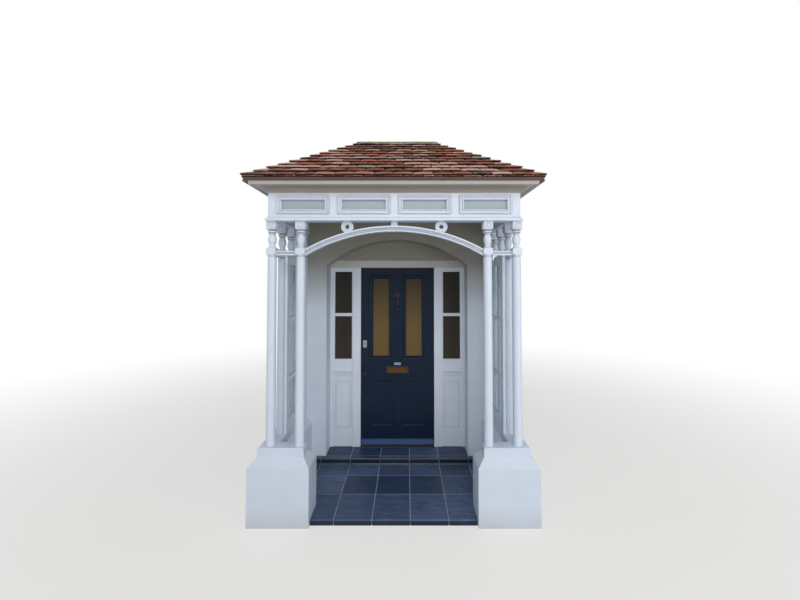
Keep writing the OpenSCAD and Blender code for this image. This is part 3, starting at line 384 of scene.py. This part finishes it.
whiteUpright, whiteLevel, whiteDeep = [
    glossPaint("whiteGloss" + way, "#D6DFEC", "#CAD4E3", along)
    for way, along in (("Upright", "z"), ("Level", "x"), ("Deep", "y"))]
# Painted light: the frame's paint is lighter than the posts' white, making up for the shade inside
# the recess
framePaint = glossPaint("lightenedFramePaint", "#DCE3EE", "#D0D8E4", "z", cornerShade=0.6)
# Painted shade: the frame head's paint is darker than the frame's, for the shade under the porch
# roof
headPaint = glossPaint("shadedHeadPaint", "#C2C3BF", "#B6B6B0", "x")
# The fascia and soffit take a grey paint, darker than the frieze's white
eavePaint = glossPaint("greyEavePaint", "#AEACAA", "#A09D99", "x", roughness=0.5)
# Painted shade: the cove's paint is darker still, for the shade under the soffit
covePaint = glossPaint("shadedCovePaint", "#9B968F", "#8E8983", "x", roughness=0.5)
# Painted shade: the ceiling's paint is a dark grey-cream, for the shade inside the porch
ceilingPaint = glossPaint("shadedCeilingPaint", "#A9A79C", "#9C998D", "x", roughness=0.5)
doorNavy = glossPaint(
    "doorNavyGloss", "#1A2A41", "#131F31", "z", roughness=0.25, specular=0.12, cornerShade=0.0)
barBlue = glossPaint(
    "barBlueGloss", "#28477A", "#213C68", "x", roughness=0.35, specular=0.2, cornerShade=0.0)
wallPaint = paintedRender(
    "paintedWallRender", "#D3DCE8", "#C6D0DD", roughness=0.7, grit=0.6, porchShade=True)
plinthPaint = paintedRender(
    "glossMasonryPaint", "#D3DDEA", "#C6D1E0", roughness=0.36, grit=0.25)
slate = honedSlate("honedSlate", "#24344F", "#6B80A2", "#20304B")
# Painted shade: the riser tiles are darker than those on top, for the shade on the steps' fronts
riserSlate = honedSlate("shadedSlateRiser", "#0F1826", "#2A3850", "#131E30")
grout = cementGrout()
clayFace = weatheredClay("weatheredClayFace", "face")
clayEdge = weatheredClay("mossyClayArris", "edge")
clayButt = weatheredClay("dampAndShadedClayButt", "butt")
fillet = lichenedMortar()
boarding = stainedBoard()
sillWood = oiledHardwood()
millAluminium = metalFinish(
    "millAluminium", "#8E9499", "#63696F", roughness=0.5, along="x", line=2.5, cloud=70)
satinSteel = metalFinish(
    "satinSteel", "#A9ABAD", "#8B8D90", roughness=0.32, along="z", line=1.5, cloud=40)
tarnishedBrass = metalFinish(
    "tarnishedBrass", "#745132", "#3E2E22", roughness=0.45, along="x", line=2, cloud=18)
agedBronze = metalFinish(
    "agedBronze", "#56504A", "#2B2825", roughness=0.45, along="z", line=2, cloud=12)
chromePlate = metalFinish(
    "chromePlate", "#A4A7AB", "#86898E", roughness=0.24, along="z", line=1.5, cloud=30)
# Painted shade: the door's amber glass darkens towards its top, where the porch shades it
amberGlass = patternGlass(
    "amberObscuredGlass", "#6E5A36", "#403B26", heights=(1.45, 1.95), through=0.05,
    roughness=0.3, ripple=5, depth=0.0006, shine=0.15)
# Painted shade: the sidelights' reeded glass darkens towards its top, where the porch shades it
darkGlass = patternGlass(
    "darkReededGlass", "#3A332A", "#22221D", heights=(1.1, 2.0), through=0.08,
    roughness=0.18, ripple=8, depth=0.0003, shine=0.15)
friezeGlass = patternGlass(
    "greyObscuredGlass", "#A0ADB4", "#A9B4B9", heights=(2.4, 2.7), through=0.1,
    roughness=0.35, ripple=6, depth=0.0008, shine=0.3)
floatGlass = patternGlass(
    "floatGlass", "#DCE8EA", "#DCE8EA", heights=(0.6, 2.1), through=1.0,
    roughness=0.03, ripple=180, depth=0.0006, shine=0.5)
rubber = sealRubber()
enamel = plateEnamel()
print("materials made")


def paint(material, *nodes):
    for node in nodes:
        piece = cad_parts[node]
        if not piece.material_slots:
            piece.data.materials.append(None)
        for place in piece.material_slots:
            place.material = material


paint(wallPaint, "wall_left", "wall_right", "wall_over")
paint(plinthPaint, "plinth_left", "plinth_right", "plinth_caps")
paint(whiteUpright, "front_posts_left", "front_posts_right", "side_posts_left", "side_posts_right",
      "side_screens", "brackets")
paint(framePaint, "frame_posts", "sidelight_rails")
paint(headPaint, "frame_head")
paint(whiteLevel, "transoms", "arch_rib", "arch_discs", "frieze_front")
paint(covePaint, "cornice")
paint(eavePaint, "soffit", "fascia")
paint(ceilingPaint, "ceiling")
paint(whiteDeep, "frieze_sides")
paint(friezeGlass, "frieze_glass")
paint(floatGlass, "screen_glass")
paint(darkGlass, "sidelight_glass")
paint(amberGlass, "door_glass")
paint(doorNavy, "door_leaf", "door_mouldings")
paint(barBlue, "weather_bar")
paint(sillWood, "threshold")
paint(millAluminium, "step_trims")
paint(satinSteel, "hinges_frame", "hinges_door")
paint(tarnishedBrass, "letter_flap")
paint(agedBronze, "letter_plate", "door_fittings", "knocker")
paint(chromePlate, "door_latch")
print("finishes on the model")


def finishPiece(name, work, materials, body):
    # Turns a worked mesh into a piece of the object that rides on a body
    bmesh.ops.recalc_face_normals(work, faces=work.faces)
    mesh = bpy.data.meshes.new(name)
    work.to_mesh(mesh)
    work.free()
    for material in materials:
        mesh.materials.append(material)
    piece = bpy.data.objects.new(name, mesh)
    bpy.context.scene.collection.objects.link(piece)
    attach(piece, body)
    print("piece made:", name, len(mesh.polygons), "faces")
    return piece


def cutOff(work, point, outward):
    # Takes away what lies past a plane and closes the cut
    geometry = list(work.verts) + list(work.edges) + list(work.faces)
    bmesh.ops.bisect_plane(
        work, geom=geometry, plane_co=point, plane_no=outward, clear_outer=True, dist=1e-6)
    bmesh.ops.holes_fill(work, edges=[e for e in work.edges if e.is_boundary], sides=0)


def skin(work, rings):
    # Faces over the first and the last ring of points and between neighbouring rings
    work.faces.new(rings[0])
    work.faces.new(rings[-1])
    for before, after in zip(rings, rings[1:]):
        for i in range(len(before)):
            j = (i + 1) % len(before)
            work.faces.new((before[i], before[j], after[j], after[i]))


def pourInto(work, part):
    # Adds a finished part to a larger mesh
    block = bpy.data.meshes.new("part")
    part.to_mesh(block)
    part.free()
    work.from_mesh(block)
    bpy.data.meshes.remove(block)


def addBlock(work, outline, low, high, arris):
    # A block over an anticlockwise outline of right angles, its upper edges rounded off
    inward = []
    for i, corner in enumerate(outline):
        before = outline[i - 1]
        after = outline[(i + 1) % len(outline)]
        sides = [(corner[0] - before[0], corner[1] - before[1]),
                 (after[0] - corner[0], after[1] - corner[1])]
        inward.append((sum(-dy / math.hypot(dx, dy) for dx, dy in sides),
                       sum(dx / math.hypot(dx, dy) for dx, dy in sides)))
    rings = []
    for inset, z in ((0, low), (0, high - arris), (arris, high)):
        rings.append([work.verts.new((c[0] + inset * v[0], c[1] + inset * v[1], z))
                      for c, v in zip(outline, inward)])
    skin(work, rings)


def addSlab(work, low, high, arris):
    corners = ((low[0], low[1]), (high[0], low[1]), (high[0], high[1]), (low[0], high[1]))
    addBlock(work, corners, low[2], high[2], arris)


# Roof: plain tiles in courses, close-cut at the hips, on a stained deck

roofSizes = {
    "courses": 12,
    "tileWidth": 0.155,
    "joint": 0.0045,        # gap between neighbours
    "butt": 0.016,          # thickness at the lower edge
    "lap": 0.022,           # tucked under the next course
    "crown": 0.0025,        # rise across a tile
    "arris": 0.0035,        # worn edges
    "corner": 0.006,        # broken lower corners
    "sliver": 0.45,         # narrowest tile at the end of a course, as a share of a whole one
    "pastHip": 0.02,        # laid past the hips and the wall before they are cut off there
    "seed": 41,
}
# Laid by eye: how far from its line a tile may lie
laidSizes = {
    "shift": 0.005,         # up the slope
    "eaveShift": 0.003,     # the same for the under course, which is straight
    "lean": 0.0035,         # one side higher than the other
    "sink": 0.0045,         # the highest tile lies on the line over the butts, the others under
    "sinkLeast": 0.4,       # least share that a tile takes of the sink due at its place
    "wavePerCourse": 2.3,   # radians that the wave in the courses moves on by from one to the next
    "wavePerMetre": 3.1,    # and along a course, times the sum of a tile's two edges
}
deckSizes = {
    "eaveAboveFascia": 0.046,
    "depth": 0.0335,        # from the tops of the butts down to the deck
    "thickness": 0.018,
    "fasciaThickness": 0.018,
    "tileOver": 0.050,      # overhang past the fascia
    "edgeThickness": 0.002, # of the boards where they end behind the butts
    "drip": (0.016, 0.056), # lower edge of the boarding at the side eaves, in and down
    "pastWall": 0.03,       # boarded past the wall before it is cut off there
}


def hipPlanes(name, low, high, ridgeHalf):
    # Upright planes through the hips of a slope, each with the way that is cut off
    planes = []
    for flank, side in (("Left", -1), ("Right", 1)):
        corner = Vector((side * high.x, low.y, 0))
        hip = Vector((side * ridgeHalf, wallY, 0)) - corner
        away = Vector((side * hip.y, -side * hip.x, 0)).normalized()
        if name == "Front":
            planes.append((corner, away))
        elif name == flank:
            planes.append((corner, -away))
    return planes


def roofSlopes():
    # Each slope: where its eave starts, which way it runs, how far, and where it is cut
    low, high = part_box("roof_front")
    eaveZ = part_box("fascia")[1].z + deckSizes["eaveAboveFascia"]
    reach = wallY - low.y
    rise = high.z - eaveZ
    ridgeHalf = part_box("roof_right")[0].x
    run = high.x - ridgeHalf
    slopes = [{
        "name": "Front", "origin": Vector((0, low.y, eaveZ)), "along": Vector((1, 0, 0)),
        "up": Vector((0, reach, rise)).normalized(), "out": Vector((0, -1, 0)),
        "run": reach, "spanLow": (-high.x, high.x), "spanHigh": (-ridgeHalf, ridgeHalf),
    }]
    for name, side in (("Left", -1), ("Right", 1)):
        slopes.append({
            "name": name, "origin": Vector((side * high.x, wallY, eaveZ)),
            "along": Vector((0, 1, 0)), "up": Vector((-side * run, 0, rise)).normalized(),
            "out": Vector((side, 0, 0)), "run": run, "spanLow": (-reach, 0), "spanHigh": (0, 0),
        })
    for slope in slopes:
        slope["normal"] = slope["up"].cross(slope["along"])
        if slope["normal"].z < 0:
            slope["normal"].negate()
        slope["rise"] = rise
        slope["length"] = math.hypot(slope["run"], rise)
        slope["hips"] = hipPlanes(slope["name"], low, high, ridgeHalf)
    return slopes


def onSlope(slope, along, up, over):
    return slope["origin"] + slope["along"] * along + slope["up"] * up + slope["normal"] * over


def trimSlope(work, slope):
    # Cuts off what reaches past the hips or into the wall
    for point, away in slope["hips"]:
        cutOff(work, point, away)
    cutOff(work, Vector((0, wallY, 0)), Vector((0, 1, 0)))


# Which of a tile's three materials goes where
tileMaterials = [clayFace, clayEdge, clayButt]
onFace, onEdge, onButt = range(3)


def addTile(work, slope, left, right, low, high, lift, lean):
    # One plain tile, its lower edge at low, tilted back under the next course
    s = roofSizes
    gauge = slope["length"] / s["courses"]
    third = (right - left) / 3
    across = [left, left + s["corner"], left + third, right - third, right - s["corner"], right]
    along = [low, low + s["arris"], (low + high) / 2, high]

    def at(a, up, drop):
        # A broken corner starts a little higher up
        if up == low and a in (left, right):
            up += s["corner"]
        t = (a - left) / (right - left)
        over = lift - s["butt"] * (up - low) / gauge + lean * (t - 0.5) - drop
        return work.verts.new(onSlope(slope, a, up, over))

    rows = []
    for up in along:
        row = []
        for a in across:
            t = (a - left) / (right - left)
            edge = a in (left, right) or up == low
            sag = s["crown"] * (1 - 4 * t * (1 - t)) + (s["arris"] if edge else 0)
            row.append(at(a, up, sag))
        rows.append(row)
    lower = [at(a, low, s["butt"]) for a in (left, across[1], across[-2], right)]
    base = lower + [at(right, high, s["butt"]), at(left, high, s["butt"])]
    for under, upper in zip(rows, rows[1:]):
        for i in range(len(across) - 1):
            face = work.faces.new((under[i], under[i + 1], upper[i + 1], upper[i]))
            face.material_index = onEdge if under is rows[0] else onFace
    work.faces.new(base)
    front = rows[0]
    for face in ((lower[0], lower[1], front[1], front[0]),
                 (lower[1], lower[2], front[4], front[3], front[2], front[1]),
                 (lower[2], lower[3], front[5], front[4])):
        work.faces.new(face).material_index = onButt
    rightSide = [base[3], base[4]] + [row[-1] for row in reversed(rows)]
    work.faces.new(rightSide).material_index = onButt
    work.faces.new([base[4], base[5]] + rows[-1])
    leftSide = [base[5], base[0]] + [row[0] for row in rows]
    work.faces.new(leftSide).material_index = onButt


def tileJoints(left, right, course):
    # Joints of one course in half bond, with no sliver at its ends
    s = roofSizes
    width = s["tileWidth"]
    first = math.ceil(left / width)
    half = 0.5 * (course % 2)
    joints = [(first + i + half) * width for i in range(-1, int((right - left) / width) + 2)]
    least = s["sliver"] * width
    inner = [j for j in joints if left + least < j < right - least]
    return [left - s["pastHip"]] + inner + [right + s["pastHip"]]


def makeTiles(slopes):
    s = roofSizes
    laid = laidSizes
    random.seed(s["seed"])
    for slope in slopes:
        work = bmesh.new()
        gauge = slope["length"] / s["courses"]
        for course in range(-1, s["courses"]):
            # Course -1 is the short under course that the eave tiles lie on
            start = max(course, 0) * gauge
            share = start / slope["length"]
            left, right = [a + (b - a) * share for a, b in zip(slope["spanLow"], slope["spanHigh"])]
            joints = tileJoints(left, right, course)
            for a, b in zip(joints, joints[1:]):
                stray = random.uniform(0, laid["shift"])
                lean = random.uniform(-laid["lean"], laid["lean"])
                # The courses wave, and here and there a tile has lifted
                phase = laid["wavePerCourse"] * course + laid["wavePerMetre"] * (a + b)
                wave = 0.5 + 0.5 * math.sin(phase)
                sink = laid["sink"] * wave * random.uniform(laid["sinkLeast"], 1)
                lift = -sink - abs(lean) / 2
                if course < 0:
                    lift -= s["butt"]
                    stray = laid["eaveShift"]
                    lean = 0
                addTile(work, slope, a + s["joint"] / 2, b - s["joint"] / 2,
                        start + stray, start + gauge + s["lap"], lift, lean)
        trimSlope(work, slope)
        piece = finishPiece("tiles" + slope["name"], work, tileMaterials, "root")
        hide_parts("roof_" + slope["name"].lower())


def makeDeck(slopes):
    # Boards under the tiles and a block over the fascia, as deep as the real eave
    s = deckSizes
    seat = s["tileOver"] + s["fasciaThickness"]
    work = bmesh.new()
    for slope in slopes:
        # Points of the section: how far in from the eave, and how high over it
        pitch = math.atan2(slope["rise"], slope["run"])
        drop = (s["depth"] + s["thickness"]) / math.cos(pitch)
        edge = s["depth"] + s["edgeThickness"]
        far = slope["run"] + s["pastWall"]
        section = [
            (s["depth"] * math.sin(pitch), -s["depth"] * math.cos(pitch)),
            (far, far * math.tan(pitch) - s["depth"] / math.cos(pitch)),
            (far, far * math.tan(pitch) - drop),
            (seat, seat * math.tan(pitch) - drop),
            (seat, -s["eaveAboveFascia"]),
            (s["tileOver"], -s["eaveAboveFascia"]),
        ]
        if slope["name"] != "Front":
            section.append((s["drip"][0], -s["drip"][1]))
        section.append((edge * math.sin(pitch), -edge * math.cos(pitch)))
        part = bmesh.new()
        ends = []
        for a in slope["spanLow"]:
            start = slope["origin"] + slope["along"] * a
            ends.append([part.verts.new(start - slope["out"] * r + Vector((0, 0, z)))
                         for r, z in section])
        skin(part, ends)
        trimSlope(part, slope)
        pourInto(work, part)
    finishPiece("roofDeck", work, [boarding], "root")


# Mortar where the tiles meet the wall, struck by hand

filletSizes = {
    "width": 0.042,         # that it covers of the tiles
    "step": 0.025,          # about how far its ripples are apart
    "rough": 0.0012,        # ripples of its face
    "waver": 0.004,         # ripples of its lower edge
    "pastHip": 0.03,        # laid past the front hips before it is cut off there
    "sideEnds": (0.016, 0.012),   # how far in from the side slopes' eaves and tops it ends
    # Share of the width from the wall, and height over the tiles; the first two lie under them
    "frontSection": ((0, -0.030), (1, -0.030), (1, -0.013), (0.6, -0.0085), (0.3, -0.0045),
                     (0, -0.0020)),
    "sideSection": ((0, -0.030), (1, -0.030), (1, -0.005), (0.6, 0.0015), (0.3, 0.0035),
                    (0, 0.0050)),
}


def makeFillet(slopes):
    s = filletSizes
    work = bmesh.new()
    for slope in slopes:
        level = slope["name"] == "Front"
        if level:
            section = s["frontSection"]
            wallLine = slope["length"]
            start = slope["spanHigh"][0] - s["pastHip"]
            end = slope["spanHigh"][1] + s["pastHip"]
        else:
            section = s["sideSection"]
            wallLine = 0
            start = s["sideEnds"][0]
            end = slope["length"] - s["sideEnds"][1]
        strip = bmesh.new()
        steps = int((end - start) / s["step"])
        rings = []
        for i in range(steps + 1):
            far = start + (end - start) * i / steps
            ring = []
            for k, (share, over) in enumerate(section):
                rough = random.uniform(-s["rough"], s["rough"]) if k > 1 else 0
                waver = random.uniform(-s["waver"], s["waver"]) if k in (2, 3) else 0
                across = wallLine - share * s["width"] + waver
                along, up = (far, across) if level else (across, far)
                ring.append(strip.verts.new(onSlope(slope, along, up, over + rough)))
            rings.append(ring)
        skin(strip, rings)
        trimSlope(strip, slope)
        pourInto(work, strip)
    finishPiece("wallFillet", work, [fillet], "root")


slopes = roofSlopes()
makeTiles(slopes)
makeDeck(slopes)
makeFillet(slopes)


# Floor: slate tiles in a bed of grout, on two levels

floorSizes = {
    "joint": 0.006,
    "arris": 0.0015,
    "bedBelow": 0.0022,      # how far the grout lies under the tile tops
    "bedArris": 0.0005,
    "tileThickness": 0.012,
    "lippage": 0.0006,       # the most that a tile lies too low
    "riserThickness": 0.010,
    "riserBack": 0.001,      # behind the edge of the tiles on top
    "riserGap": 0.002,       # under them
    "riserArris": 0.001,
    "plinthBehind": 0.205,   # from the floor's front edge to the back of the front plinths
    "pitch": 0.305,
    "phase": 0.131,          # x of one joint
    "jointsAside": 5,        # on each side of that one, enough for the whole width
    "sliver": 0.03,          # narrowest tile at the end of a row
    "backRows": (0.303, 0.210),   # depth of the middle and the last row
    "seed": 7,
}


def stops(reach, marks):
    # Tile edges from -reach to reach, leaving out marks that would cut a sliver
    most = reach - floorSizes["sliver"]
    return [-reach] + [m for m in marks if -most < m < most] + [reach]


def pave(work, reach, front, back, top, marks, entry=None, behind=None):
    # One row of tiles. Where the plinths stand in front of it, the tiles past the entry only
    # start behind them, and the one at the corner is cut to an L
    s = floorSizes
    half = s["joint"] / 2
    edges = stops(reach, marks)
    for a, b in zip(edges, edges[1:]):
        x0, x1, y0, y1 = a + half, b - half, front + half, back - half
        outline = [(x0, y0), (x1, y0), (x1, y1), (x0, y1)]
        if entry is not None:
            corner = entry - half
            start = behind + half
            if x1 <= -corner or x0 >= corner:
                outline = [(x0, start), (x1, start), (x1, y1), (x0, y1)]
            elif x0 < -corner:
                outline = [(-corner, y0), (x1, y0), (x1, y1), (x0, y1), (x0, start),
                           (-corner, start)]
            elif x1 > corner:
                outline = [(x0, y0), (corner, y0), (corner, start), (x1, start), (x1, y1),
                           (x0, y1)]
        high = top - random.uniform(0, s["lippage"])
        addBlock(work, outline, top - s["tileThickness"], high, s["arris"])


def faceRiser(work, reach, edge, low, top, marks):
    # Upright tiles in front of a step, under the overhang of those on top
    s = floorSizes
    half = s["joint"] / 2
    front = edge + s["riserBack"]
    high = top - s["tileThickness"] - s["riserGap"]
    edges = stops(reach, marks)
    for a, b in zip(edges, edges[1:]):
        addSlab(work, (a + half, front, low), (b - half, front + s["riserThickness"], high),
                s["riserArris"])


def makeFloor():
    s = floorSizes
    random.seed(s["seed"])
    floorLow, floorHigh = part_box("porch_floor")
    stepLow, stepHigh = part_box("door_step")
    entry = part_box("plinth_right")[0].x
    outer = floorHigh.x
    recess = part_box("wall_right")[0].x
    plinthBack = floorLow.y + s["plinthBehind"]
    riser = s["riserThickness"]
    marks = [s["phase"] + s["pitch"] * i for i in range(-s["jointsAside"], s["jointsAside"] + 1)]

    bed = bmesh.new()
    for reach, front, back, top in (
            (entry, floorLow.y + riser, plinthBack, floorHigh.z),
            (outer, plinthBack, floorHigh.y, floorHigh.z),
            (outer, stepLow.y + riser, wallY, stepHigh.z),
            (recess, wallY, stepHigh.y, stepHigh.z)):
        addSlab(bed, (-reach, front, 0), (reach, back, top - s["bedBelow"]), s["bedArris"])
    finishPiece("floorBed", bed, [grout], "root")

    work = bmesh.new()
    row = floorLow.y
    for depth in (floorHigh.y - floorLow.y - sum(s["backRows"]),) + s["backRows"]:
        back = row + depth
        if row < plinthBack < back:
            pave(work, outer, row, back, floorHigh.z, marks, entry, plinthBack)
        elif back <= plinthBack:
            pave(work, entry, row, back, floorHigh.z, marks)
        else:
            pave(work, outer, row, back, floorHigh.z, marks)
        row = back
    pave(work, outer, stepLow.y, wallY, stepHigh.z, marks)
    pave(work, recess, wallY, stepHigh.y, stepHigh.z, marks)
    tiles = finishPiece("floorTiles", work, [slate], "root")
    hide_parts("porch_floor", "door_step")

    work = bmesh.new()
    faceRiser(work, entry, floorLow.y, 0, floorHigh.z, marks)
    faceRiser(work, outer, stepLow.y, floorHigh.z - s["bedBelow"], stepHigh.z, marks)
    finishPiece("riserTiles", work, [riserSlate], "root")


makeFloor()


# Small things on the door

sealSizes = {
    "stopLap": 0.007,         # what the stop covers of the leaf
    "stopGap": 0.007,         # between the stop and the leaf
    "shown": 0.013,           # what shows of the seal beside the stop
    "held": 0.006,            # what is held between the stop and the leaf
    "foot": 0.004,            # starts this far over the leaf's lower edge
    "clear": 0.0005,          # between the seal and the leaf
    "arris": 0.0004,
}
plaqueSizes = {
    "width": 0.075,
    "height": 0.029,
    "corner": 0.006,
    "thickness": 0.0025,
    "arris": 0.0006,
    "centre": 1.011,          # above the ground
    "screwOut": 0.031,        # from its middle
    "screw": 0.0022,          # radius of the head
    "turn": (0.4, 20),        # slot's angle in radians at the middle, and its change per metre
}
letterScrewSizes = {
    "in": 0.010,              # from the plate's ends
    "screw": 0.0035,
    "turn": (1.1, 5),
}
screwSizes = {
    "sides": 20,
    "disc": (0.0, 0.0004, 0.0001),      # how far its back and front stand out, and its arris
    "halves": (0.0003, 0.0009, 0.0002),
    "slot": 0.16,             # radians that the slot takes off both ends of a half disc
    "halfSteps": 10,
}


def roundedOutline(width, height, corner, steps=5):
    # Corner points of a plate, anticlockwise
    points = []
    for quarter, (sx, sy) in enumerate(((1, 1), (-1, 1), (-1, -1), (1, -1))):
        for i in range(steps + 1):
            turn = math.pi / 2 * (quarter + i / steps)
            points.append((sx * (width / 2 - corner) + corner * math.cos(turn),
                           sy * (height / 2 - corner) + corner * math.sin(turn)))
    return points


def addPlate(work, centre, outline, back, front, arris):
    # A flat plate that faces the street, its front edge rounded off
    rings = []
    for y, inset in ((back, 0), (front + arris, 0), (front, arris)):
        ring = []
        for x, z in outline:
            size = math.hypot(x, z)
            keep = (size - inset) / size
            ring.append(work.verts.new((centre[0] + x * keep, y, centre[1] + z * keep)))
        rings.append(ring)
    skin(work, rings)


def addScrew(work, x, y, z, radius, turn):
    # A slotted head: two half discs on a lower one
    s = screwSizes
    disc = [(radius * math.cos(a), radius * math.sin(a))
            for a in [i * math.tau / s["sides"] for i in range(s["sides"])]]
    back, front, arris = s["disc"]
    addPlate(work, (x, z), disc, y - back, y - front, arris)
    back, front, arris = s["halves"]
    for side in (0, math.pi):
        half = []
        for i in range(s["halfSteps"] + 1):
            a = s["slot"] + (math.pi - 2 * s["slot"]) * i / s["halfSteps"]
            px = radius * math.cos(a)
            pz = radius * math.sin(a)
            angle = turn + side
            half.append((px * math.cos(angle) - pz * math.sin(angle),
                         px * math.sin(angle) + pz * math.cos(angle)))
        middle = [sum(values) / len(half) for values in zip(*half)]
        moved = [(p[0] - middle[0], p[1] - middle[1]) for p in half]
        addPlate(work, (x + middle[0], z + middle[1]), moved, y - back, y - front, arris)


def makeSeal(leafLow, leafHigh):
    # One strip up each side of the doorway and one along its head
    s = sealSizes
    opening = leafHigh.x - s["stopLap"]
    headZ = leafHigh.z - s["stopLap"]
    front = leafLow.y - s["stopGap"]
    back = leafLow.y - s["clear"]
    seal = bmesh.new()
    for side in (-1, 1):
        xs = sorted((side * (opening - s["shown"]), side * (opening + s["held"])))
        addSlab(seal, (xs[0], front, leafLow.z + s["foot"]), (xs[1], back, headZ), s["arris"])
    addSlab(seal, (-opening - s["held"], front, headZ - s["shown"]),
            (opening + s["held"], back, headZ + s["held"]), s["arris"])
    finishPiece("draughtSeal", seal, [rubber], "root")


def makePlaque(leafFront):
    # A bare plate and its two screws
    s = plaqueSizes
    face = leafFront - s["thickness"]
    plaque = bmesh.new()
    outline = roundedOutline(s["width"], s["height"], s["corner"])
    addPlate(plaque, (0, s["centre"]), outline, leafFront, face, s["arris"])
    finishPiece("plaque", plaque, [enamel], "door")
    screws = bmesh.new()
    for x in (-s["screwOut"], s["screwOut"]):
        addScrew(screws, x, face, s["centre"], s["screw"], s["turn"][0] + s["turn"][1] * x)
    finishPiece("plaqueScrews", screws, [chromePlate], "door")


def makeLetterScrews():
    s = letterScrewSizes
    low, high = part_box("letter_plate")
    middle = (low.z + high.z) / 2
    screws = bmesh.new()
    for x in (low.x + s["in"], high.x - s["in"]):
        addScrew(screws, x, low.y, middle, s["screw"], s["turn"][0] + s["turn"][1] * x)
    finishPiece("letterPlateScrews", screws, [agedBronze], "door")


leafLow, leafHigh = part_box("door_leaf")
makeSeal(leafLow, leafHigh)
makePlaque(leafLow.y)
makeLetterScrews()


# Stage, light and camera

studio = {
    "floorColor": "#DED9D1",
    "floorShade": "#D6D1C9",
    "floorWhite": 0.55,       # share of white in the floor as it is seen near the object
    "floorHalf": 40.0,
    "fadeFrom": 1.6,          # m from the object's middle where the floor starts to run out
    "fadeTo": 9.0,            # into plain white
    "worldColor": "#EEF3FA",
    "worldStrength": 0.40,
    # name, size, power, place
    "lamps": (("softKey", 3.5, 205, (0.4, -6.8, 5.8)),
              ("rightFill", 4.0, 150, (4.4, -5.2, 1.6)),
              ("leftFill", 4.0, 50, (-4.6, -5.0, 1.8))),
    "lampTarget": (0, 0, 1.3),
}
plainWhite = {"Color": (1, 1, 1, 1), "Strength": 1.0}


def seenWhite(tree):
    # 1 where the camera, a shiny metal or a pane looks at the surroundings themselves
    path = addNode(tree, "ShaderNodeLightPath").outputs
    either = calculate(tree, "MAXIMUM", path["Is Camera Ray"], path["Is Glossy Ray"])
    return calculate(tree, "MAXIMUM", either, path["Is Transmission Ray"])


def stagePlaster():
    # Pale floor that, far from the object, runs out into the white of the background
    material, tree, shader, place = startMaterial(
        "palePlaster", Roughness=0.9, **{"Specular IOR Level": 0.1})
    cloud = noise(tree, place, repeat=900, detail=2)
    tint = mixColors(tree, cloud, studio["floorColor"], studio["floorShade"])
    tree.links.new(tint, shader.inputs["Base Color"])
    away = addNode(tree, "ShaderNodeVectorMath", {}, {0: place}, operation="LENGTH")
    far = mapRange(
        tree, away.outputs["Value"], (studio["fadeFrom"], studio["fadeTo"]),
        (studio["floorWhite"], 1), interpolation_type="SMOOTHSTEP")
    share = calculate(tree, "MULTIPLY", far, seenWhite(tree))
    white = addNode(tree, "ShaderNodeEmission", plainWhite)
    surface = addNode(tree, "ShaderNodeMixShader", {},
                      {0: share, 1: shader.outputs[0], 2: white.outputs[0]})
    output = next(n for n in tree.nodes if n.type == "OUTPUT_MATERIAL")
    tree.links.new(surface.outputs[0], output.inputs["Surface"])
    return material


def makeStage():
    work = bmesh.new()
    half = studio["floorHalf"]
    work.faces.new([work.verts.new((x * half, y * half, 0))
                    for x, y in ((-1, -1), (1, -1), (1, 1), (-1, 1))])
    mesh = bpy.data.meshes.new("stageFloor")
    work.to_mesh(mesh)
    work.free()
    mesh.materials.append(stagePlaster())
    floor = bpy.data.objects.new("stageFloor", mesh)
    bpy.context.scene.collection.objects.link(floor)


def makeWorld():
    # Daylight from all round, seen as plain white
    world = bpy.data.worlds.new("studioWorld")
    world.use_nodes = True
    tree = world.node_tree
    tree.nodes.clear()
    daylight = {"Color": fromHex(studio["worldColor"]), "Strength": studio["worldStrength"]}
    plain = addNode(tree, "ShaderNodeBackground", daylight)
    white = addNode(tree, "ShaderNodeBackground", plainWhite)
    seen = addNode(tree, "ShaderNodeMixShader", {},
                   {0: seenWhite(tree), 1: plain.outputs[0], 2: white.outputs[0]})
    addNode(tree, "ShaderNodeOutputWorld", {}, {"Surface": seen.outputs[0]})
    bpy.context.scene.world = world


def makeLamps():
    for name, size, power, place in studio["lamps"]:
        lamp = bpy.data.lights.new(name, "AREA")
        lamp.shape = "SQUARE"
        lamp.size = size
        lamp.energy = power
        stand = bpy.data.objects.new(name, lamp)
        stand.location = place
        aim = Vector(studio["lampTarget"]) - stand.location
        stand.rotation_euler = aim.to_track_quat("-Z", "Y").to_euler()
        bpy.context.scene.collection.objects.link(stand)


cameraSizes = {
    "place": (0.102, -3.427, 1.931),
    "tiltUp": 1.39,           # degrees
    "lens": 16.06,            # mm, as is the sensor's width
    "sensor": 36,
    "shift": (-0.0083, -0.0343),
    "clip": (0.05, 200),
}


def makeCamera():
    data = bpy.data.cameras.new("streetCamera")
    data.lens = cameraSizes["lens"]
    data.sensor_width = cameraSizes["sensor"]
    data.shift_x, data.shift_y = cameraSizes["shift"]
    data.clip_start, data.clip_end = cameraSizes["clip"]
    camera = bpy.data.objects.new("streetCamera", data)
    camera.location = cameraSizes["place"]
    camera.rotation_euler = (math.radians(90 + cameraSizes["tiltUp"]), 0, 0)
    bpy.context.scene.collection.objects.link(camera)
    bpy.context.scene.camera = camera


makeStage()
makeWorld()
makeLamps()
makeCamera()
bpy.context.scene.view_settings.view_transform = "Standard"
print("stage, light and camera set")
